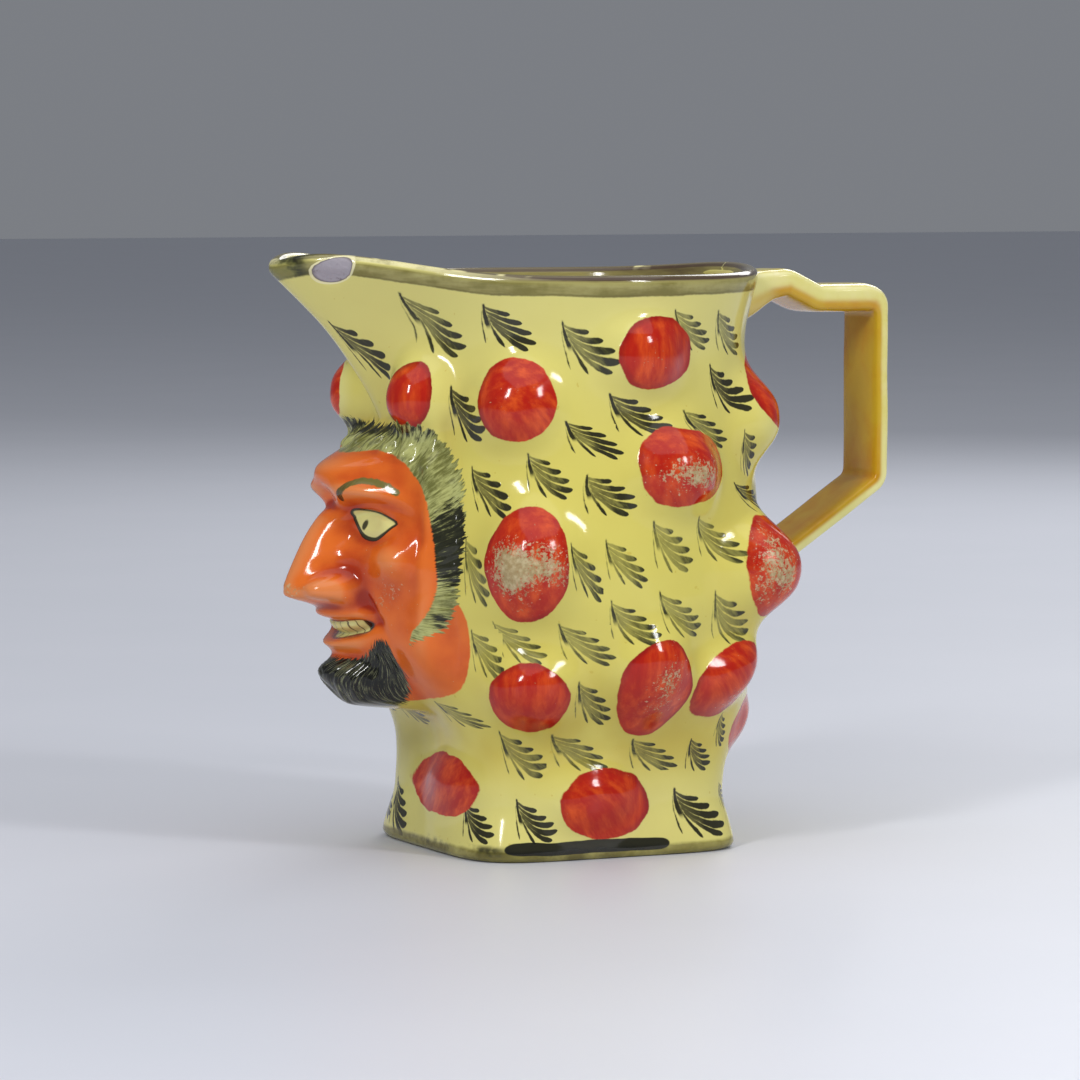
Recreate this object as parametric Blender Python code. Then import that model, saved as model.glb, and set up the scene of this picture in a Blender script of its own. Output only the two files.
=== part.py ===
"""Mask jug: a gnarled pottery jug with a satyr's mask under its spout and an angular strap handle.

Metres, +Z up. The jug stands on z = 0 with the middle of its foot at the origin. The spout and the mask
face -X and the handle is on +X. Angles run from the spout, 0, round to the handle, 180 degrees. Body,
mask, knobs and handle are luted and fired as one piece, so the jug is one solid.
"""

import math

import bmesh
import bpy
import numpy as np

# Body
BODY_HEIGHT = 0.1294  # rim above the table, away from the spout
FOOT_HALF_WIDTH = 0.0339
WAIST_HALF_WIDTH = 0.0322
BELLY_HALF_WIDTH = 0.0465
NECK_HALF_WIDTH = 0.0422
RIM_HALF_WIDTH = 0.0440
WAIST_LEVEL = 0.100  # levels are shares of the height
BELLY_LEVEL = 0.460
NECK_LEVEL = 0.870
FOOT_SQUARENESS = 5.2  # power of the superellipse: 2 is a circle
WAIST_SQUARENESS = 4.4
FOOT_EDGE_ROUND = 0.0016
THROAT_DEPTH = 0.0046  # hollow under the beard
THROAT_LEVEL = 0.205

# Spout
SPOUT_REACH = 0.0695  # axis to the tip
SPOUT_RISE = 0.0054  # lip beside the tip over the rest of the rim
SPOUT_TIP_DIP = 0.0022  # tip under the lip beside it
BACK_RISE = 0.0018  # rim at the handle over the sides
SPOUT_LEVEL = 0.745  # where it starts to lean out
SPOUT_HALF_ANGLE = math.radians(36.0)  # of the wedge that it makes, seen from above
SPOUT_TIP_ROUND = 0.13  # radians round the jug
SPOUT_BLEND = 0.0050  # softness where it leaves the body

# Walls
WALL = 0.0040
LIP_THICKNESS = 0.0034
FLOOR_THICKNESS = 0.0056
INNER_CORNER_ROUND = 0.0080

# Mask
MASK_BASE = 0.0324  # underside of the beard
MASK_HEIGHT = 0.0640  # from there to the top of the hair
MASK_PROUD = 0.0110  # the middle of the face over the body
NOSE_PROUD = 0.0092  # the tip of the nose over the face

# Knobs
KNOB_PROUD = 0.0088  # the boldest of them

# Handle
HANDLE_WIDTH = 0.0168
HANDLE_TOP_THICKNESS = 0.0066  # from the rim to the shoulder
HANDLE_GRIP_THICKNESS = 0.0039  # from the shoulder down
HANDLE_EDGE_ROUND = 0.0015
HANDLE_REACH = 0.0793  # axis to the middle of the grip
HANDLE_TOP = 0.1264  # middle of the strap over its first arch
HANDLE_SHOULDER = 0.1228  # middle of the strap where it runs level to the grip
HANDLE_GRIP_END = 0.0805  # middle of the strap where the grip turns in
HANDLE_END = 0.0595  # middle of the strap where it meets the belly
HANDLE_CORNER_ROUND = 0.0042
HANDLE_ROOT_SWELL = 0.0052  # how much thicker the strap is where it meets the body
HANDLE_ROOT_LENGTH = 0.0062  # how far along the strap that swelling reaches
HANDLE_ROOT_SPREAD = 0.4  # how much wider it is there, times that swelling

# Fineness
FACE_COLUMNS = 36
BACK_COLUMNS = 42
INNER_COLUMNS = 40
INNER_ROWS = 13
FACE_HALF_ANGLE = math.radians(37.0)  # of the closer columns
LIP_ARC = ((0.16, 0.12), (0.50, 0.0), (0.84, 0.12))  # depth and drop, in thicknesses of the lip

YELLOW = (0.80, 0.68, 0.16, 1.0)


def ease(value):
    """Nought to one with level ends, for a value that runs from nought to one."""
    value = np.clip(value, 0.0, 1.0)
    return value * value * (3.0 - 2.0 * value)


def rise(value, start, end):
    """The eased share of the way from start to end."""
    return ease((value - start) / (end - start))


def bump(across, up, at_across, at_up, half_across, half_up, power=1.0):
    """A rounded swelling of height one; a higher power gives it a flatter top and steeper sides."""
    distance = ((across - at_across) / half_across) ** 2 + ((up - at_up) / half_up) ** 2
    return np.exp(-distance**power)


def half_width(level):
    """Half the width of the body, easing through the foot, waist, belly, neck and rim."""
    width = FOOT_HALF_WIDTH + (WAIST_HALF_WIDTH - FOOT_HALF_WIDTH) * rise(level, 0.0, WAIST_LEVEL)
    width = width + (BELLY_HALF_WIDTH - WAIST_HALF_WIDTH) * rise(level, WAIST_LEVEL, BELLY_LEVEL)
    width = width + (NECK_HALF_WIDTH - BELLY_HALF_WIDTH) * rise(level, BELLY_LEVEL, NECK_LEVEL)
    return width + (RIM_HALF_WIDTH - NECK_HALF_WIDTH) * rise(level, NECK_LEVEL, 1.0)


def plain_radius(angle, level):
    """Axis to the body without mask or knobs: a superellipse, with a rounded wedge for the spout."""
    power = FOOT_SQUARENESS + (WAIST_SQUARENESS - FOOT_SQUARENESS) * rise(level, 0.0, WAIST_LEVEL)
    power = power + (2.0 - WAIST_SQUARENESS) * rise(level, WAIST_LEVEL, 0.9 * BELLY_LEVEL)
    squared = (np.abs(np.cos(angle)) ** power + np.abs(np.sin(angle)) ** power) ** (1.0 / power)
    throat = THROAT_DEPTH * bump(angle, level, 0.0, THROAT_LEVEL, 0.80, 0.075)
    radius = half_width(level) / squared - throat
    lean = np.clip((level - SPOUT_LEVEL) / (1.0 - SPOUT_LEVEL), 0.0, 1.0)
    turned = np.minimum(np.sqrt(angle**2 + SPOUT_TIP_ROUND**2) - SPOUT_TIP_ROUND, 1.0)
    wedge = np.sin(SPOUT_HALF_ANGLE) / np.sin(SPOUT_HALF_ANGLE + turned)
    reach = half_width(level) + (SPOUT_REACH - RIM_HALF_WIDTH) * lean**1.25
    spout = reach * wedge
    blend = SPOUT_BLEND * lean
    joined = 0.5 * (radius + spout + np.sqrt((radius - spout) ** 2 + blend**2))
    return np.where(lean > 0.0, joined, radius)


def mask_relief(angle, height):
    """The mask over the plain body. It is drawn in hundredths of its own height, from the beard's underside.

    A broad mass carries the face. Brow, eyes, cheeks, nose, wings, lips, teeth, chin, beard, jaw, whiskers
    and hair are swellings and hollows added to it.
    """
    across = np.abs(angle) * BELLY_HALF_WIDTH / MASK_HEIGHT * 100.0
    up = (height - MASK_BASE) / MASK_HEIGHT * 100.0
    under = rise(up, -3.0, 1.8 + 0.24 * across)
    crown = 1.0 - rise(up, 84.0, 101.0)
    middle = np.exp(-((across / 18.5) ** 2))
    edge = 1.0 - rise(across, 33.0, 47.0)
    face = (0.70 * middle + 0.30 * edge * rise(up, 4.0, 26.0)) * under * crown
    face = face + 0.24 * bump(across, up, 0.0, 81.5, 24.0, 8.0)
    face = face + 0.30 * bump(across, up, 13.5, 76.5 - 0.012 * (across - 14.0) ** 2, 12.0, 4.0)
    face = face - 0.16 * bump(across, up, 0.0, 72.5, 6.0, 3.2)
    face = face - 0.42 * bump(across, up, 15.5, 66.0, 8.0, 6.5)
    face = face + 0.30 * bump(across, up, 17.0, 65.6, 7.2, 4.4, 1.6)
    face = face + 0.10 * bump(across, up, 17.2, 71.2 - 0.03 * (across - 17.2) ** 2, 8.5, 1.5)
    face = face + 0.40 * bump(across, up, 27.0, 54.0, 8.5, 8.0)
    face = face - 0.16 * bump(across, up, 14.5 + 0.42 * (42.0 - up), 37.0, 2.4, 8.0)
    face = face + 0.14 * bump(across, up, 0.0, 34.2, 13.0, 2.4)
    mouth_line = 28.2 + 0.010 * across**2
    face = face - 0.44 * bump(across, up, 0.0, mouth_line, 15.5, 3.6, 2.0)
    face = face + 0.24 * bump(across, up, 0.0, mouth_line + 0.9, 12.5, 1.9, 2.0)
    face = face + 0.12 * bump(across, up, 0.0, 22.6, 12.0, 2.6)
    face = face + 0.82 * bump(across, up, 0.0, 7.4, 16.2, 10.2, 2.0) * under
    face = face + 0.24 * bump(across, up, 34.0, 24.0, 10.0, 15.0)
    face = face + 0.14 * bump(across, up, 40.5 - 0.10 * np.abs(up - 60.0), 62.0, 4.0, 34.0, 2.0)
    locks = 0.5 + 0.5 * np.cos(across * 0.72)
    face = face + 0.20 * locks * bump(across, up, 10.0, 93.0 - 0.006 * across**2, 26.0, 6.0, 1.5)

    slope = np.clip((70.0 - up) / 26.0, 0.0, 1.0) ** 0.66
    tip = rise(up, 35.0, 41.0)
    ridge = np.exp(-((across / (5.0 + 3.4 * slope)) ** 2))
    nose = slope * tip * ridge
    nose = nose + 0.52 * bump(across, up, 10.0, 42.8, 4.4, 4.6, 1.4)
    return MASK_PROUD * face + NOSE_PROUD * nose


# Knobs on each side: degrees from the spout, level, width and height as shares of the body's height,
# how proud they are beside the boldest, and how far they lean
KNOBS = (
    (21.0, 0.790, 0.070, 0.078, 1.00, 0.0),
    (53.0, 0.785, 0.088, 0.084, 0.75, 0.0),
    (91.0, 0.864, 0.086, 0.080, 0.62, 0.0),
    (101.0, 0.672, 0.098, 0.088, 0.86, 0.0),
    (143.0, 0.752, 0.090, 0.090, 0.88, 0.0),
    (58.0, 0.520, 0.094, 0.112, 0.84, 0.0),
    (131.0, 0.495, 0.104, 0.110, 1.36, 0.0),
    (58.0, 0.293, 0.086, 0.078, 0.72, 0.0),
    (93.0, 0.312, 0.088, 0.100, 0.80, 0.0),
    (121.0, 0.312, 0.092, 0.082, 0.66, -0.5),
    (158.0, 0.210, 0.078, 0.072, 0.50, 0.0),
    (78.0, 0.105, 0.094, 0.066, 0.55, 0.0),
)

# The same for the one at the foot under the mask, which has no fellow on the other side
FOOT_KNOB = (23.0, 0.128, 0.080, 0.066, 0.46, 0.0)


def knob_relief(angle, height):
    """The knobs over the plain body, the same on both sides but for the one at the foot."""
    total = 0.0
    placed = [(np.abs(angle), knob) for knob in KNOBS] + [(angle, FOOT_KNOB)]
    for around, (degrees, level, wide, tall, proud, lean) in placed:
        across = (around - math.radians(degrees)) * half_width(np.asarray(level)) / BODY_HEIGHT
        up = height / BODY_HEIGHT - level
        leaned = across + lean * up
        total = total + proud * bump(leaned, up, 0.0, 0.0, wide * 0.80, tall * 0.80, 1.35)
    return KNOB_PROUD * total


def lift(angle, level):
    """How much higher a point stands than its level, because the rim sweeps up to spout and handle."""
    sweep = SPOUT_RISE * np.exp(-((angle / 0.52) ** 2)) - SPOUT_TIP_DIP * np.exp(-((angle / 0.11) ** 2))
    sweep = sweep + BACK_RISE * np.exp(-(((np.abs(angle) - math.pi) / 0.6) ** 2))
    return sweep * rise(level, SPOUT_LEVEL, 1.0)


def place(angle, radius, height):
    """Points from angles, distances from the axis and heights."""
    return np.stack([-radius * np.cos(angle), -radius * np.sin(angle), height], axis=-1)


def plain_point(angle, level):
    """A point of the body without mask or knobs."""
    height = BODY_HEIGHT * level + lift(angle, level)
    return place(angle, plain_radius(angle, level), height)


def inner_point(angle, level, depth):
    """A point at a depth under the plain body, square to it."""
    step = 0.002
    along = plain_point(angle + step, level) - plain_point(angle - step, level)
    upward = plain_point(angle, level + step) - plain_point(angle, level - step)
    outward = np.cross(along, upward)
    outward = outward / np.linalg.norm(outward, axis=-1, keepdims=True)
    return plain_point(angle, level) - depth[..., None] * outward


def outer_point(angle, level):
    """A point of the body with mask and knobs."""
    height = BODY_HEIGHT * level
    relief = mask_relief(angle, height) + knob_relief(angle, height)
    relief = relief * (1.0 - rise(level, 0.90, 0.97)) * rise(level, 0.0, 0.03)
    return place(angle, plain_radius(angle, level) + relief, height + lift(angle, level))


def outer_angles():
    """Angles round the jug, closer together over the face."""
    front = np.linspace(-FACE_HALF_ANGLE, FACE_HALF_ANGLE, FACE_COLUMNS + 1)
    back = np.linspace(FACE_HALF_ANGLE, 2.0 * math.pi - FACE_HALF_ANGLE, BACK_COLUMNS + 1)
    angles = np.concatenate([front, back[1:-1]])
    return np.where(angles > math.pi, angles - 2.0 * math.pi, angles)


def outer_levels():
    """Levels of the rows of the outside, closer together over the face and at the beard's underside."""
    base = MASK_BASE / BODY_HEIGHT
    top = (MASK_BASE + MASK_HEIGHT) / BODY_HEIGHT
    half_step = 0.016 * MASK_HEIGHT / BODY_HEIGHT
    foot = np.linspace(FOOT_EDGE_ROUND / BODY_HEIGHT, base - half_step, 8)
    face = np.linspace(base + half_step, top, 29)
    neck = np.linspace(top, 1.0 - LIP_THICKNESS / BODY_HEIGHT * 0.5, 9)
    return np.concatenate([foot, face, neck[1:]])


def ring(vertices, points):
    """Add one closed ring of points and return its indices."""
    start = len(vertices)
    vertices.extend(map(tuple, points))
    return list(range(start, start + len(points)))


def skin(faces, lower, upper):
    """Quads between two rings of the same length, facing away from the axis when upper is above."""
    for index in range(len(lower)):
        after = (index + 1) % len(lower)
        faces.append((lower[index], upper[index], upper[after], lower[after]))


def stitch(faces, coarse, fine, coarse_angles, fine_angles):
    """Triangles between two rings of unlike length, by walking both round the jug by angle."""
    first, second = 0, 0
    turn = 2.0 * math.pi
    coarse_at = list(coarse_angles) + [coarse_angles[0] + turn]
    fine_at = list(fine_angles) + [fine_angles[0] + turn]
    while first < len(coarse) or second < len(fine):
        a, b = coarse[first % len(coarse)], fine[second % len(fine)]
        move_fine = first == len(coarse)
        if not move_fine and second < len(fine):
            move_fine = fine_at[second + 1] <= coarse_at[first + 1]
        if move_fine:
            faces.append((a, fine[(second + 1) % len(fine)], b))
            second += 1
        else:
            faces.append((a, coarse[(first + 1) % len(coarse)], b))
            first += 1


def build_body(collection):
    """The thrown and pressed body: outside, lip, inside and floor as one closed skin.

    It is made by hand because the outside is a sculpted surface with no loft or turning behind it.
    """
    vertices, faces = [], []
    angles = outer_angles()
    turned = np.unwrap(angles)
    foot = outer_point(angles, np.full_like(angles, FOOT_EDGE_ROUND / BODY_HEIGHT))
    cut = 1.0 - math.sqrt(0.5)  # how far an arc's middle lies from either of its tangents, in radii
    inset = 1.0 - cut * FOOT_EDGE_ROUND / FOOT_HALF_WIDTH
    flat = 1.0 - FOOT_EDGE_ROUND / FOOT_HALF_WIDTH
    sole = ring(vertices, foot * (flat, flat, 0.0))
    rings = [sole, ring(vertices, foot * (inset, inset, cut))]
    for level in outer_levels():
        rings.append(ring(vertices, outer_point(angles, np.full_like(angles, level))))
    for lower, upper in zip(rings, rings[1:]):
        skin(faces, lower, upper)

    last = rings[-1]
    for depth_share, drop_share in LIP_ARC:
        level = 1.0 - drop_share * LIP_THICKNESS / BODY_HEIGHT
        depth = depth_share * LIP_THICKNESS
        points = inner_point(angles, np.full_like(angles, level), np.full_like(angles, depth))
        points[:, 2] = BODY_HEIGHT * level + lift(angles, np.full_like(angles, level))
        following = ring(vertices, points)
        skin(faces, last, following)
        last = following

    inner = np.linspace(-math.pi, math.pi, INNER_COLUMNS, endpoint=False)
    lowest = (FLOOR_THICKNESS + INNER_CORNER_ROUND) / BODY_HEIGHT
    levels = np.linspace(1.0 - 0.5 * LIP_THICKNESS / BODY_HEIGHT, lowest, INNER_ROWS)
    previous = None
    for number, level in enumerate(levels):
        depth = LIP_THICKNESS + (WALL - LIP_THICKNESS) * min(number, 2) / 2.0
        points = inner_point(inner, np.full_like(inner, level), np.full_like(inner, depth))
        current = ring(vertices, points)
        if previous is None:
            shift = int(np.argmin(np.abs(inner - turned[0])))
            order = current[shift:] + current[:shift]
            inner_at = np.unwrap(np.concatenate([inner[shift:], inner[:shift]]))
            stitch(faces, last, order, turned, inner_at)
        else:
            skin(faces, previous, current)
        previous = current
    wall_foot = points
    for bend in np.linspace(0.0, 0.5 * math.pi, 4)[1:]:
        shrink = 1.0 - INNER_CORNER_ROUND * (1.0 - math.cos(bend)) / FOOT_HALF_WIDTH
        points = wall_foot * (shrink, shrink, 0.0)
        points[:, 2] = FLOOR_THICKNESS + INNER_CORNER_ROUND * (1.0 - math.sin(bend))
        current = ring(vertices, points)
        skin(faces, previous, current)
        previous = current
    faces.append(tuple(previous))
    faces.append(tuple(sole[::-1]))
    return closed_object("mask_jug", vertices, faces, collection)


def closed_object(name, vertices, faces, collection):
    """An object whose faces all look out."""
    mesh = bpy.data.meshes.new(name)
    mesh.from_pydata(vertices, [], faces)
    shape = bmesh.new()
    shape.from_mesh(mesh)
    bmesh.ops.recalc_face_normals(shape, faces=shape.faces)
    if shape.calc_volume(signed=True) < 0.0:
        bmesh.ops.reverse_faces(shape, faces=shape.faces)
    shape.to_mesh(mesh)
    shape.free()
    thing = bpy.data.objects.new(name, mesh)
    collection.objects.link(thing)
    return thing


def back_wall(height):
    """Axis to the middle of the wall under the handle."""
    level = np.asarray(height / BODY_HEIGHT)
    return float(plain_radius(np.asarray(math.pi), level)) - 0.5 * WALL


def rounded_path(corners, radius, steps):
    """A line through the corners, each turned with an arc of the given size."""
    points = [corners[0]]
    for before, corner, after in zip(corners, corners[1:], corners[2:]):
        back, on = before - corner, after - corner
        back, on = back / np.linalg.norm(back), on / np.linalg.norm(on)
        half = 0.5 * math.acos(float(np.clip(back @ on, -1.0, 1.0)))
        run = min(radius / math.tan(half), 0.45 * np.linalg.norm(before - corner))
        run = min(run, 0.45 * np.linalg.norm(after - corner))
        for share in np.linspace(0.0, 1.0, steps + 1):
            near = corner + back * run * (1.0 - share)
            far = corner + on * run * share
            points.append(near + (far - near) * share)
    points.append(corners[-1])
    return np.array(points)


def strap_section(width, thickness):
    """The outline of the strap: a rectangle with rounded edges, as across and outward pairs."""
    outline = []
    for corner in range(4):
        side = (1.0, 1.0) if corner == 0 else (-1.0, 1.0) if corner == 1 else (-1.0, -1.0)
        side = (1.0, -1.0) if corner == 3 else side
        for part in range(3):
            bend = (corner + part / 2.0) * math.pi / 2.0
            across = side[0] * (width / 2.0 - HANDLE_EDGE_ROUND) + HANDLE_EDGE_ROUND * math.cos(bend)
            outward = side[1] * (thickness / 2.0 - HANDLE_EDGE_ROUND) + HANDLE_EDGE_ROUND * math.sin(bend)
            outline.append((across, outward))
    return outline


def build_handle(collection):
    """The strap: one section carried along its bent line, with both ends swollen and sunk in the wall."""
    top_root = BODY_HEIGHT - 0.5 * (HANDLE_TOP_THICKNESS + HANDLE_ROOT_SWELL)
    start, end = back_wall(top_root), back_wall(HANDLE_END)
    span = HANDLE_REACH - start
    corners = np.array(
        [
            (start, top_root),
            (start + 0.22 * span, HANDLE_TOP - 0.0006),
            (start + 0.35 * span, HANDLE_TOP),
            (start + 0.56 * span, HANDLE_SHOULDER),
            (HANDLE_REACH, HANDLE_SHOULDER),
            (HANDLE_REACH, HANDLE_GRIP_END),
            (end + 0.22 * (HANDLE_REACH - end), HANDLE_END + 0.0030),
            (end, HANDLE_END),
        ]
    )
    path = rounded_path(corners, HANDLE_CORNER_ROUND, 3)
    steps = np.gradient(path, axis=0)
    steps = steps / np.linalg.norm(steps, axis=1, keepdims=True)
    outward = np.stack([-steps[:, 1], steps[:, 0]], axis=1)
    travelled = np.concatenate([[0.0], np.cumsum(np.linalg.norm(np.diff(path, axis=0), axis=1))])
    to_end = np.minimum(travelled, travelled[-1] - travelled)
    swell = HANDLE_ROOT_SWELL * np.exp(-((to_end / HANDLE_ROOT_LENGTH) ** 2))
    thinned = rise(path[:, 1], HANDLE_SHOULDER, HANDLE_SHOULDER - HANDLE_CORNER_ROUND)
    thickness = HANDLE_TOP_THICKNESS + (HANDLE_GRIP_THICKNESS - HANDLE_TOP_THICKNESS) * thinned + swell
    width = HANDLE_WIDTH + HANDLE_ROOT_SPREAD * swell
    vertices, faces, previous = [], [], None
    for point, out, thick, wide in zip(path, outward, thickness, width):
        section = strap_section(wide, thick)
        placed = [(point[0] + out[0] * o, a, point[1] + out[1] * o) for a, o in section]
        current = ring(vertices, placed)
        if previous:
            skin(faces, previous, current)
        else:
            faces.append(tuple(current))
        previous = current
    faces.append(tuple(previous[::-1]))
    return closed_object("strap", vertices, faces, collection)


def join(body, strap):
    """Lute the strap to the body and lose the loose object."""
    union = body.modifiers.new("strap", "BOOLEAN")
    union.operation = "UNION"
    union.solver = "EXACT"
    union.object = strap
    shaped = bpy.data.meshes.new_from_object(body.evaluated_get(bpy.context.evaluated_depsgraph_get()))
    body.modifiers.clear()
    body.data = shaped
    shaped.name = body.name
    bpy.data.objects.remove(strap, do_unlink=True)


def glaze():
    """Yellow glaze with a wet shine."""
    material = bpy.data.materials.new("yellow_glaze")
    material.use_nodes = True
    shader = material.node_tree.nodes["Principled BSDF"]
    shader.inputs["Base Color"].default_value = YELLOW
    shader.inputs["Roughness"].default_value = 0.12
    return material


def main():
    for thing in list(bpy.data.objects):
        bpy.data.objects.remove(thing, do_unlink=True)
    collection = bpy.data.collections.new("mask_jug")
    bpy.context.scene.collection.children.link(collection)
    body = build_body(collection)
    strap = build_handle(collection)
    bpy.context.view_layer.update()
    join(body, strap)
    body.data.materials.clear()
    body.data.materials.append(glaze())
    for face in body.data.polygons:
        face.use_smooth = True


main()
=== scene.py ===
"""Mask jug, dressed: the fine surface of the jug with its painted knobs, sprigs, mask and bands.

Metres, +Z up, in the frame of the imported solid. The spout and the mask face -X and the handle is on +X.
Angles run from the spout, 0, to the handle, 180 degrees, and a positive angle is on the photographed side.
"""

import math

import bpy
import numpy as np
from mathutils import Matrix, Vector


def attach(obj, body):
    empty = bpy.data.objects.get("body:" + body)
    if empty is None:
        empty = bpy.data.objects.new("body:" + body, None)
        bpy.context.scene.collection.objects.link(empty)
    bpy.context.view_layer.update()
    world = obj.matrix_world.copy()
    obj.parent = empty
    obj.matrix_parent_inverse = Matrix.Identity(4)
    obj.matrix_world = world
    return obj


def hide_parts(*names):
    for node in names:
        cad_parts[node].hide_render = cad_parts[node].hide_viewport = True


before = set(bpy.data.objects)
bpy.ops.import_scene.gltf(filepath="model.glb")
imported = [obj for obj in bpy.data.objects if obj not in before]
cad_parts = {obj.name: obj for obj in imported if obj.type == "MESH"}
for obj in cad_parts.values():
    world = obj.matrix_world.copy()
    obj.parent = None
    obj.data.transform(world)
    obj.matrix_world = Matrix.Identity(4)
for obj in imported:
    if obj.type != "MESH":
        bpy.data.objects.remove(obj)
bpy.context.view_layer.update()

MM = 0.001

# The photograph's camera and its frame
PHOTO_SIZE = 1080
CAMERA_AZIMUTH = -25.0
CAMERA_DISTANCE = 1.181
CAMERA_HEIGHT = 0.156
CAMERA_STEP = -0.00386  # to its own right, off the jug's axis
CAMERA_PITCH = 4.235
FOCAL_PIXELS = 5222.0

# Body, as in the solid
BODY_HEIGHT = 0.1294
FOOT_HALF_WIDTH = 0.0339
WAIST_HALF_WIDTH = 0.0322
BELLY_HALF_WIDTH = 0.0465
NECK_HALF_WIDTH = 0.0422
RIM_HALF_WIDTH = 0.0440
WAIST_LEVEL = 0.100
BELLY_LEVEL = 0.460
NECK_LEVEL = 0.870
FOOT_SQUARENESS = 5.2
WAIST_SQUARENESS = 4.4
FOOT_EDGE_ROUND = 0.0016
THROAT_DEPTH = 0.0046
THROAT_LEVEL = 0.205
THROAT_HALF_ANGLE = 0.80
THROAT_HALF_LEVEL = 0.075

SPOUT_REACH = 0.0695
SPOUT_RISE, SPOUT_RISE_ANGLE = 0.0054, 0.52
SPOUT_TIP_DIP, SPOUT_DIP_ANGLE = 0.0022, 0.11
BACK_RISE, BACK_RISE_ANGLE = 0.0018, 0.6
SPOUT_LEVEL = 0.745
SPOUT_HALF_ANGLE = math.radians(36.0)
SPOUT_TIP_ROUND = 0.13
SPOUT_BLEND = 0.0050
SPOUT_CURVE = 1.25  # power of the height by which the spout leans out
SPOUT_FULL_LEVEL = 0.978  # where the spout is at its longest, so that its lip is blunt

WALL = 0.0040
LIP_THICKNESS = 0.0034
FLOOR_THICKNESS = 0.0056
INNER_CORNER_ROUND = 0.0080

MASK_BASE = 0.0324
MASK_HEIGHT = 0.0640
MASK_PROUD = 0.0110
NOSE_PROUD = 0.0092
KNOB_PROUD = 0.0088

HANDLE_WIDTH = 0.0168
HANDLE_TOP_THICKNESS = 0.0066
HANDLE_GRIP_THICKNESS = 0.0039
HANDLE_REACH = 0.0793
HANDLE_TOP = 0.1264
HANDLE_SHOULDER = 0.1228
HANDLE_GRIP_END = 0.0805
HANDLE_END = 0.0595
HANDLE_CORNER_ROUND = 0.0042
HANDLE_ROOT_SWELL = 0.0052
HANDLE_ROOT_LENGTH = 0.0062
HANDLE_ROOT_SPREAD = 0.4
HANDLE_SQUARENESS = 5.0

# Fineness of the skin: columns round the mask and round the rest, and rows up it, of which the inside keeps
# one column in INNER_STEP
FACE_HALF_ANGLE = math.radians(44.0)
FACE_COLUMNS = 176
BACK_COLUMNS = 236
FOOT_ROWS = 34
FACE_ROWS = 150
NECK_ROWS = 38
FOOT_EDGE_ROWS = 4
LIP_ROWS = 7
INNER_STEP = 4
INNER_ROWS = 44
INNER_CORNER_ROWS = 7
HANDLE_ROWS = 190
HANDLE_COLUMNS = 56

TOOTH_WIDTH = 3.4  # hundredths of the mask's height
OUTSIDE_FIELD = -20.0  # stored for a painted region where there is none


def ease(value):
    """Nought to one with level ends: three squares less two cubes."""
    value = np.clip(value, 0.0, 1.0)
    return value * value * (3.0 - 2.0 * value)


def rise(value, start, end):
    """The eased share of the way from start to end."""
    return ease((value - start) / (end - start))


def bump(across, up, at_across, at_up, half_across, half_up, power=1.0):
    """A swelling of height one: the exponential of minus an elliptical distance to a power."""
    distance = ((across - at_across) / half_across) ** 2 + ((up - at_up) / half_up) ** 2
    return np.exp(-distance**power)


def half_width(level):
    """Half the width of the body: eased steps from foot to waist, belly, neck and rim."""
    width = FOOT_HALF_WIDTH + (WAIST_HALF_WIDTH - FOOT_HALF_WIDTH) * rise(level, 0.0, WAIST_LEVEL)
    width = width + (BELLY_HALF_WIDTH - WAIST_HALF_WIDTH) * rise(level, WAIST_LEVEL, BELLY_LEVEL)
    width = width + (NECK_HALF_WIDTH - BELLY_HALF_WIDTH) * rise(level, BELLY_LEVEL, NECK_LEVEL)
    return width + (RIM_HALF_WIDTH - NECK_HALF_WIDTH) * rise(level, NECK_LEVEL, 1.0)


def plain_radius(angle, level):
    """Axis to the body without mask or knobs: a superellipse, less a hollow under the beard, then the smooth
    maximum with a rounded wedge for the spout, whose reach grows with a power of the height."""
    power = FOOT_SQUARENESS + (WAIST_SQUARENESS - FOOT_SQUARENESS) * rise(level, 0.0, WAIST_LEVEL)
    power = power + (2.0 - WAIST_SQUARENESS) * rise(level, WAIST_LEVEL, 0.9 * BELLY_LEVEL)
    squared = (np.abs(np.cos(angle)) ** power + np.abs(np.sin(angle)) ** power) ** (1.0 / power)
    throat = THROAT_DEPTH * bump(angle, level, 0.0, THROAT_LEVEL, THROAT_HALF_ANGLE, THROAT_HALF_LEVEL)
    radius = half_width(level) / squared - throat
    lean = np.clip((level - SPOUT_LEVEL) / (SPOUT_FULL_LEVEL - SPOUT_LEVEL), 0.0, 1.0)
    turned = np.minimum(np.sqrt(angle**2 + SPOUT_TIP_ROUND**2) - SPOUT_TIP_ROUND, 1.0)
    wedge = np.sin(SPOUT_HALF_ANGLE) / np.sin(SPOUT_HALF_ANGLE + turned)
    reach = half_width(level) + (SPOUT_REACH - RIM_HALF_WIDTH) * lean**SPOUT_CURVE
    spout = reach * wedge
    blend = SPOUT_BLEND * lean
    joined = 0.5 * (radius + spout + np.sqrt((radius - spout) ** 2 + blend**2))
    return np.where(lean > 0.0, joined, radius)


def mask_place(angle, height):
    """Across and up the mask, in hundredths of its height from the underside of the beard."""
    across = np.abs(angle) * BELLY_HALF_WIDTH / MASK_HEIGHT * 100.0
    return across, (height - MASK_BASE) / MASK_HEIGHT * 100.0


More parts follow.
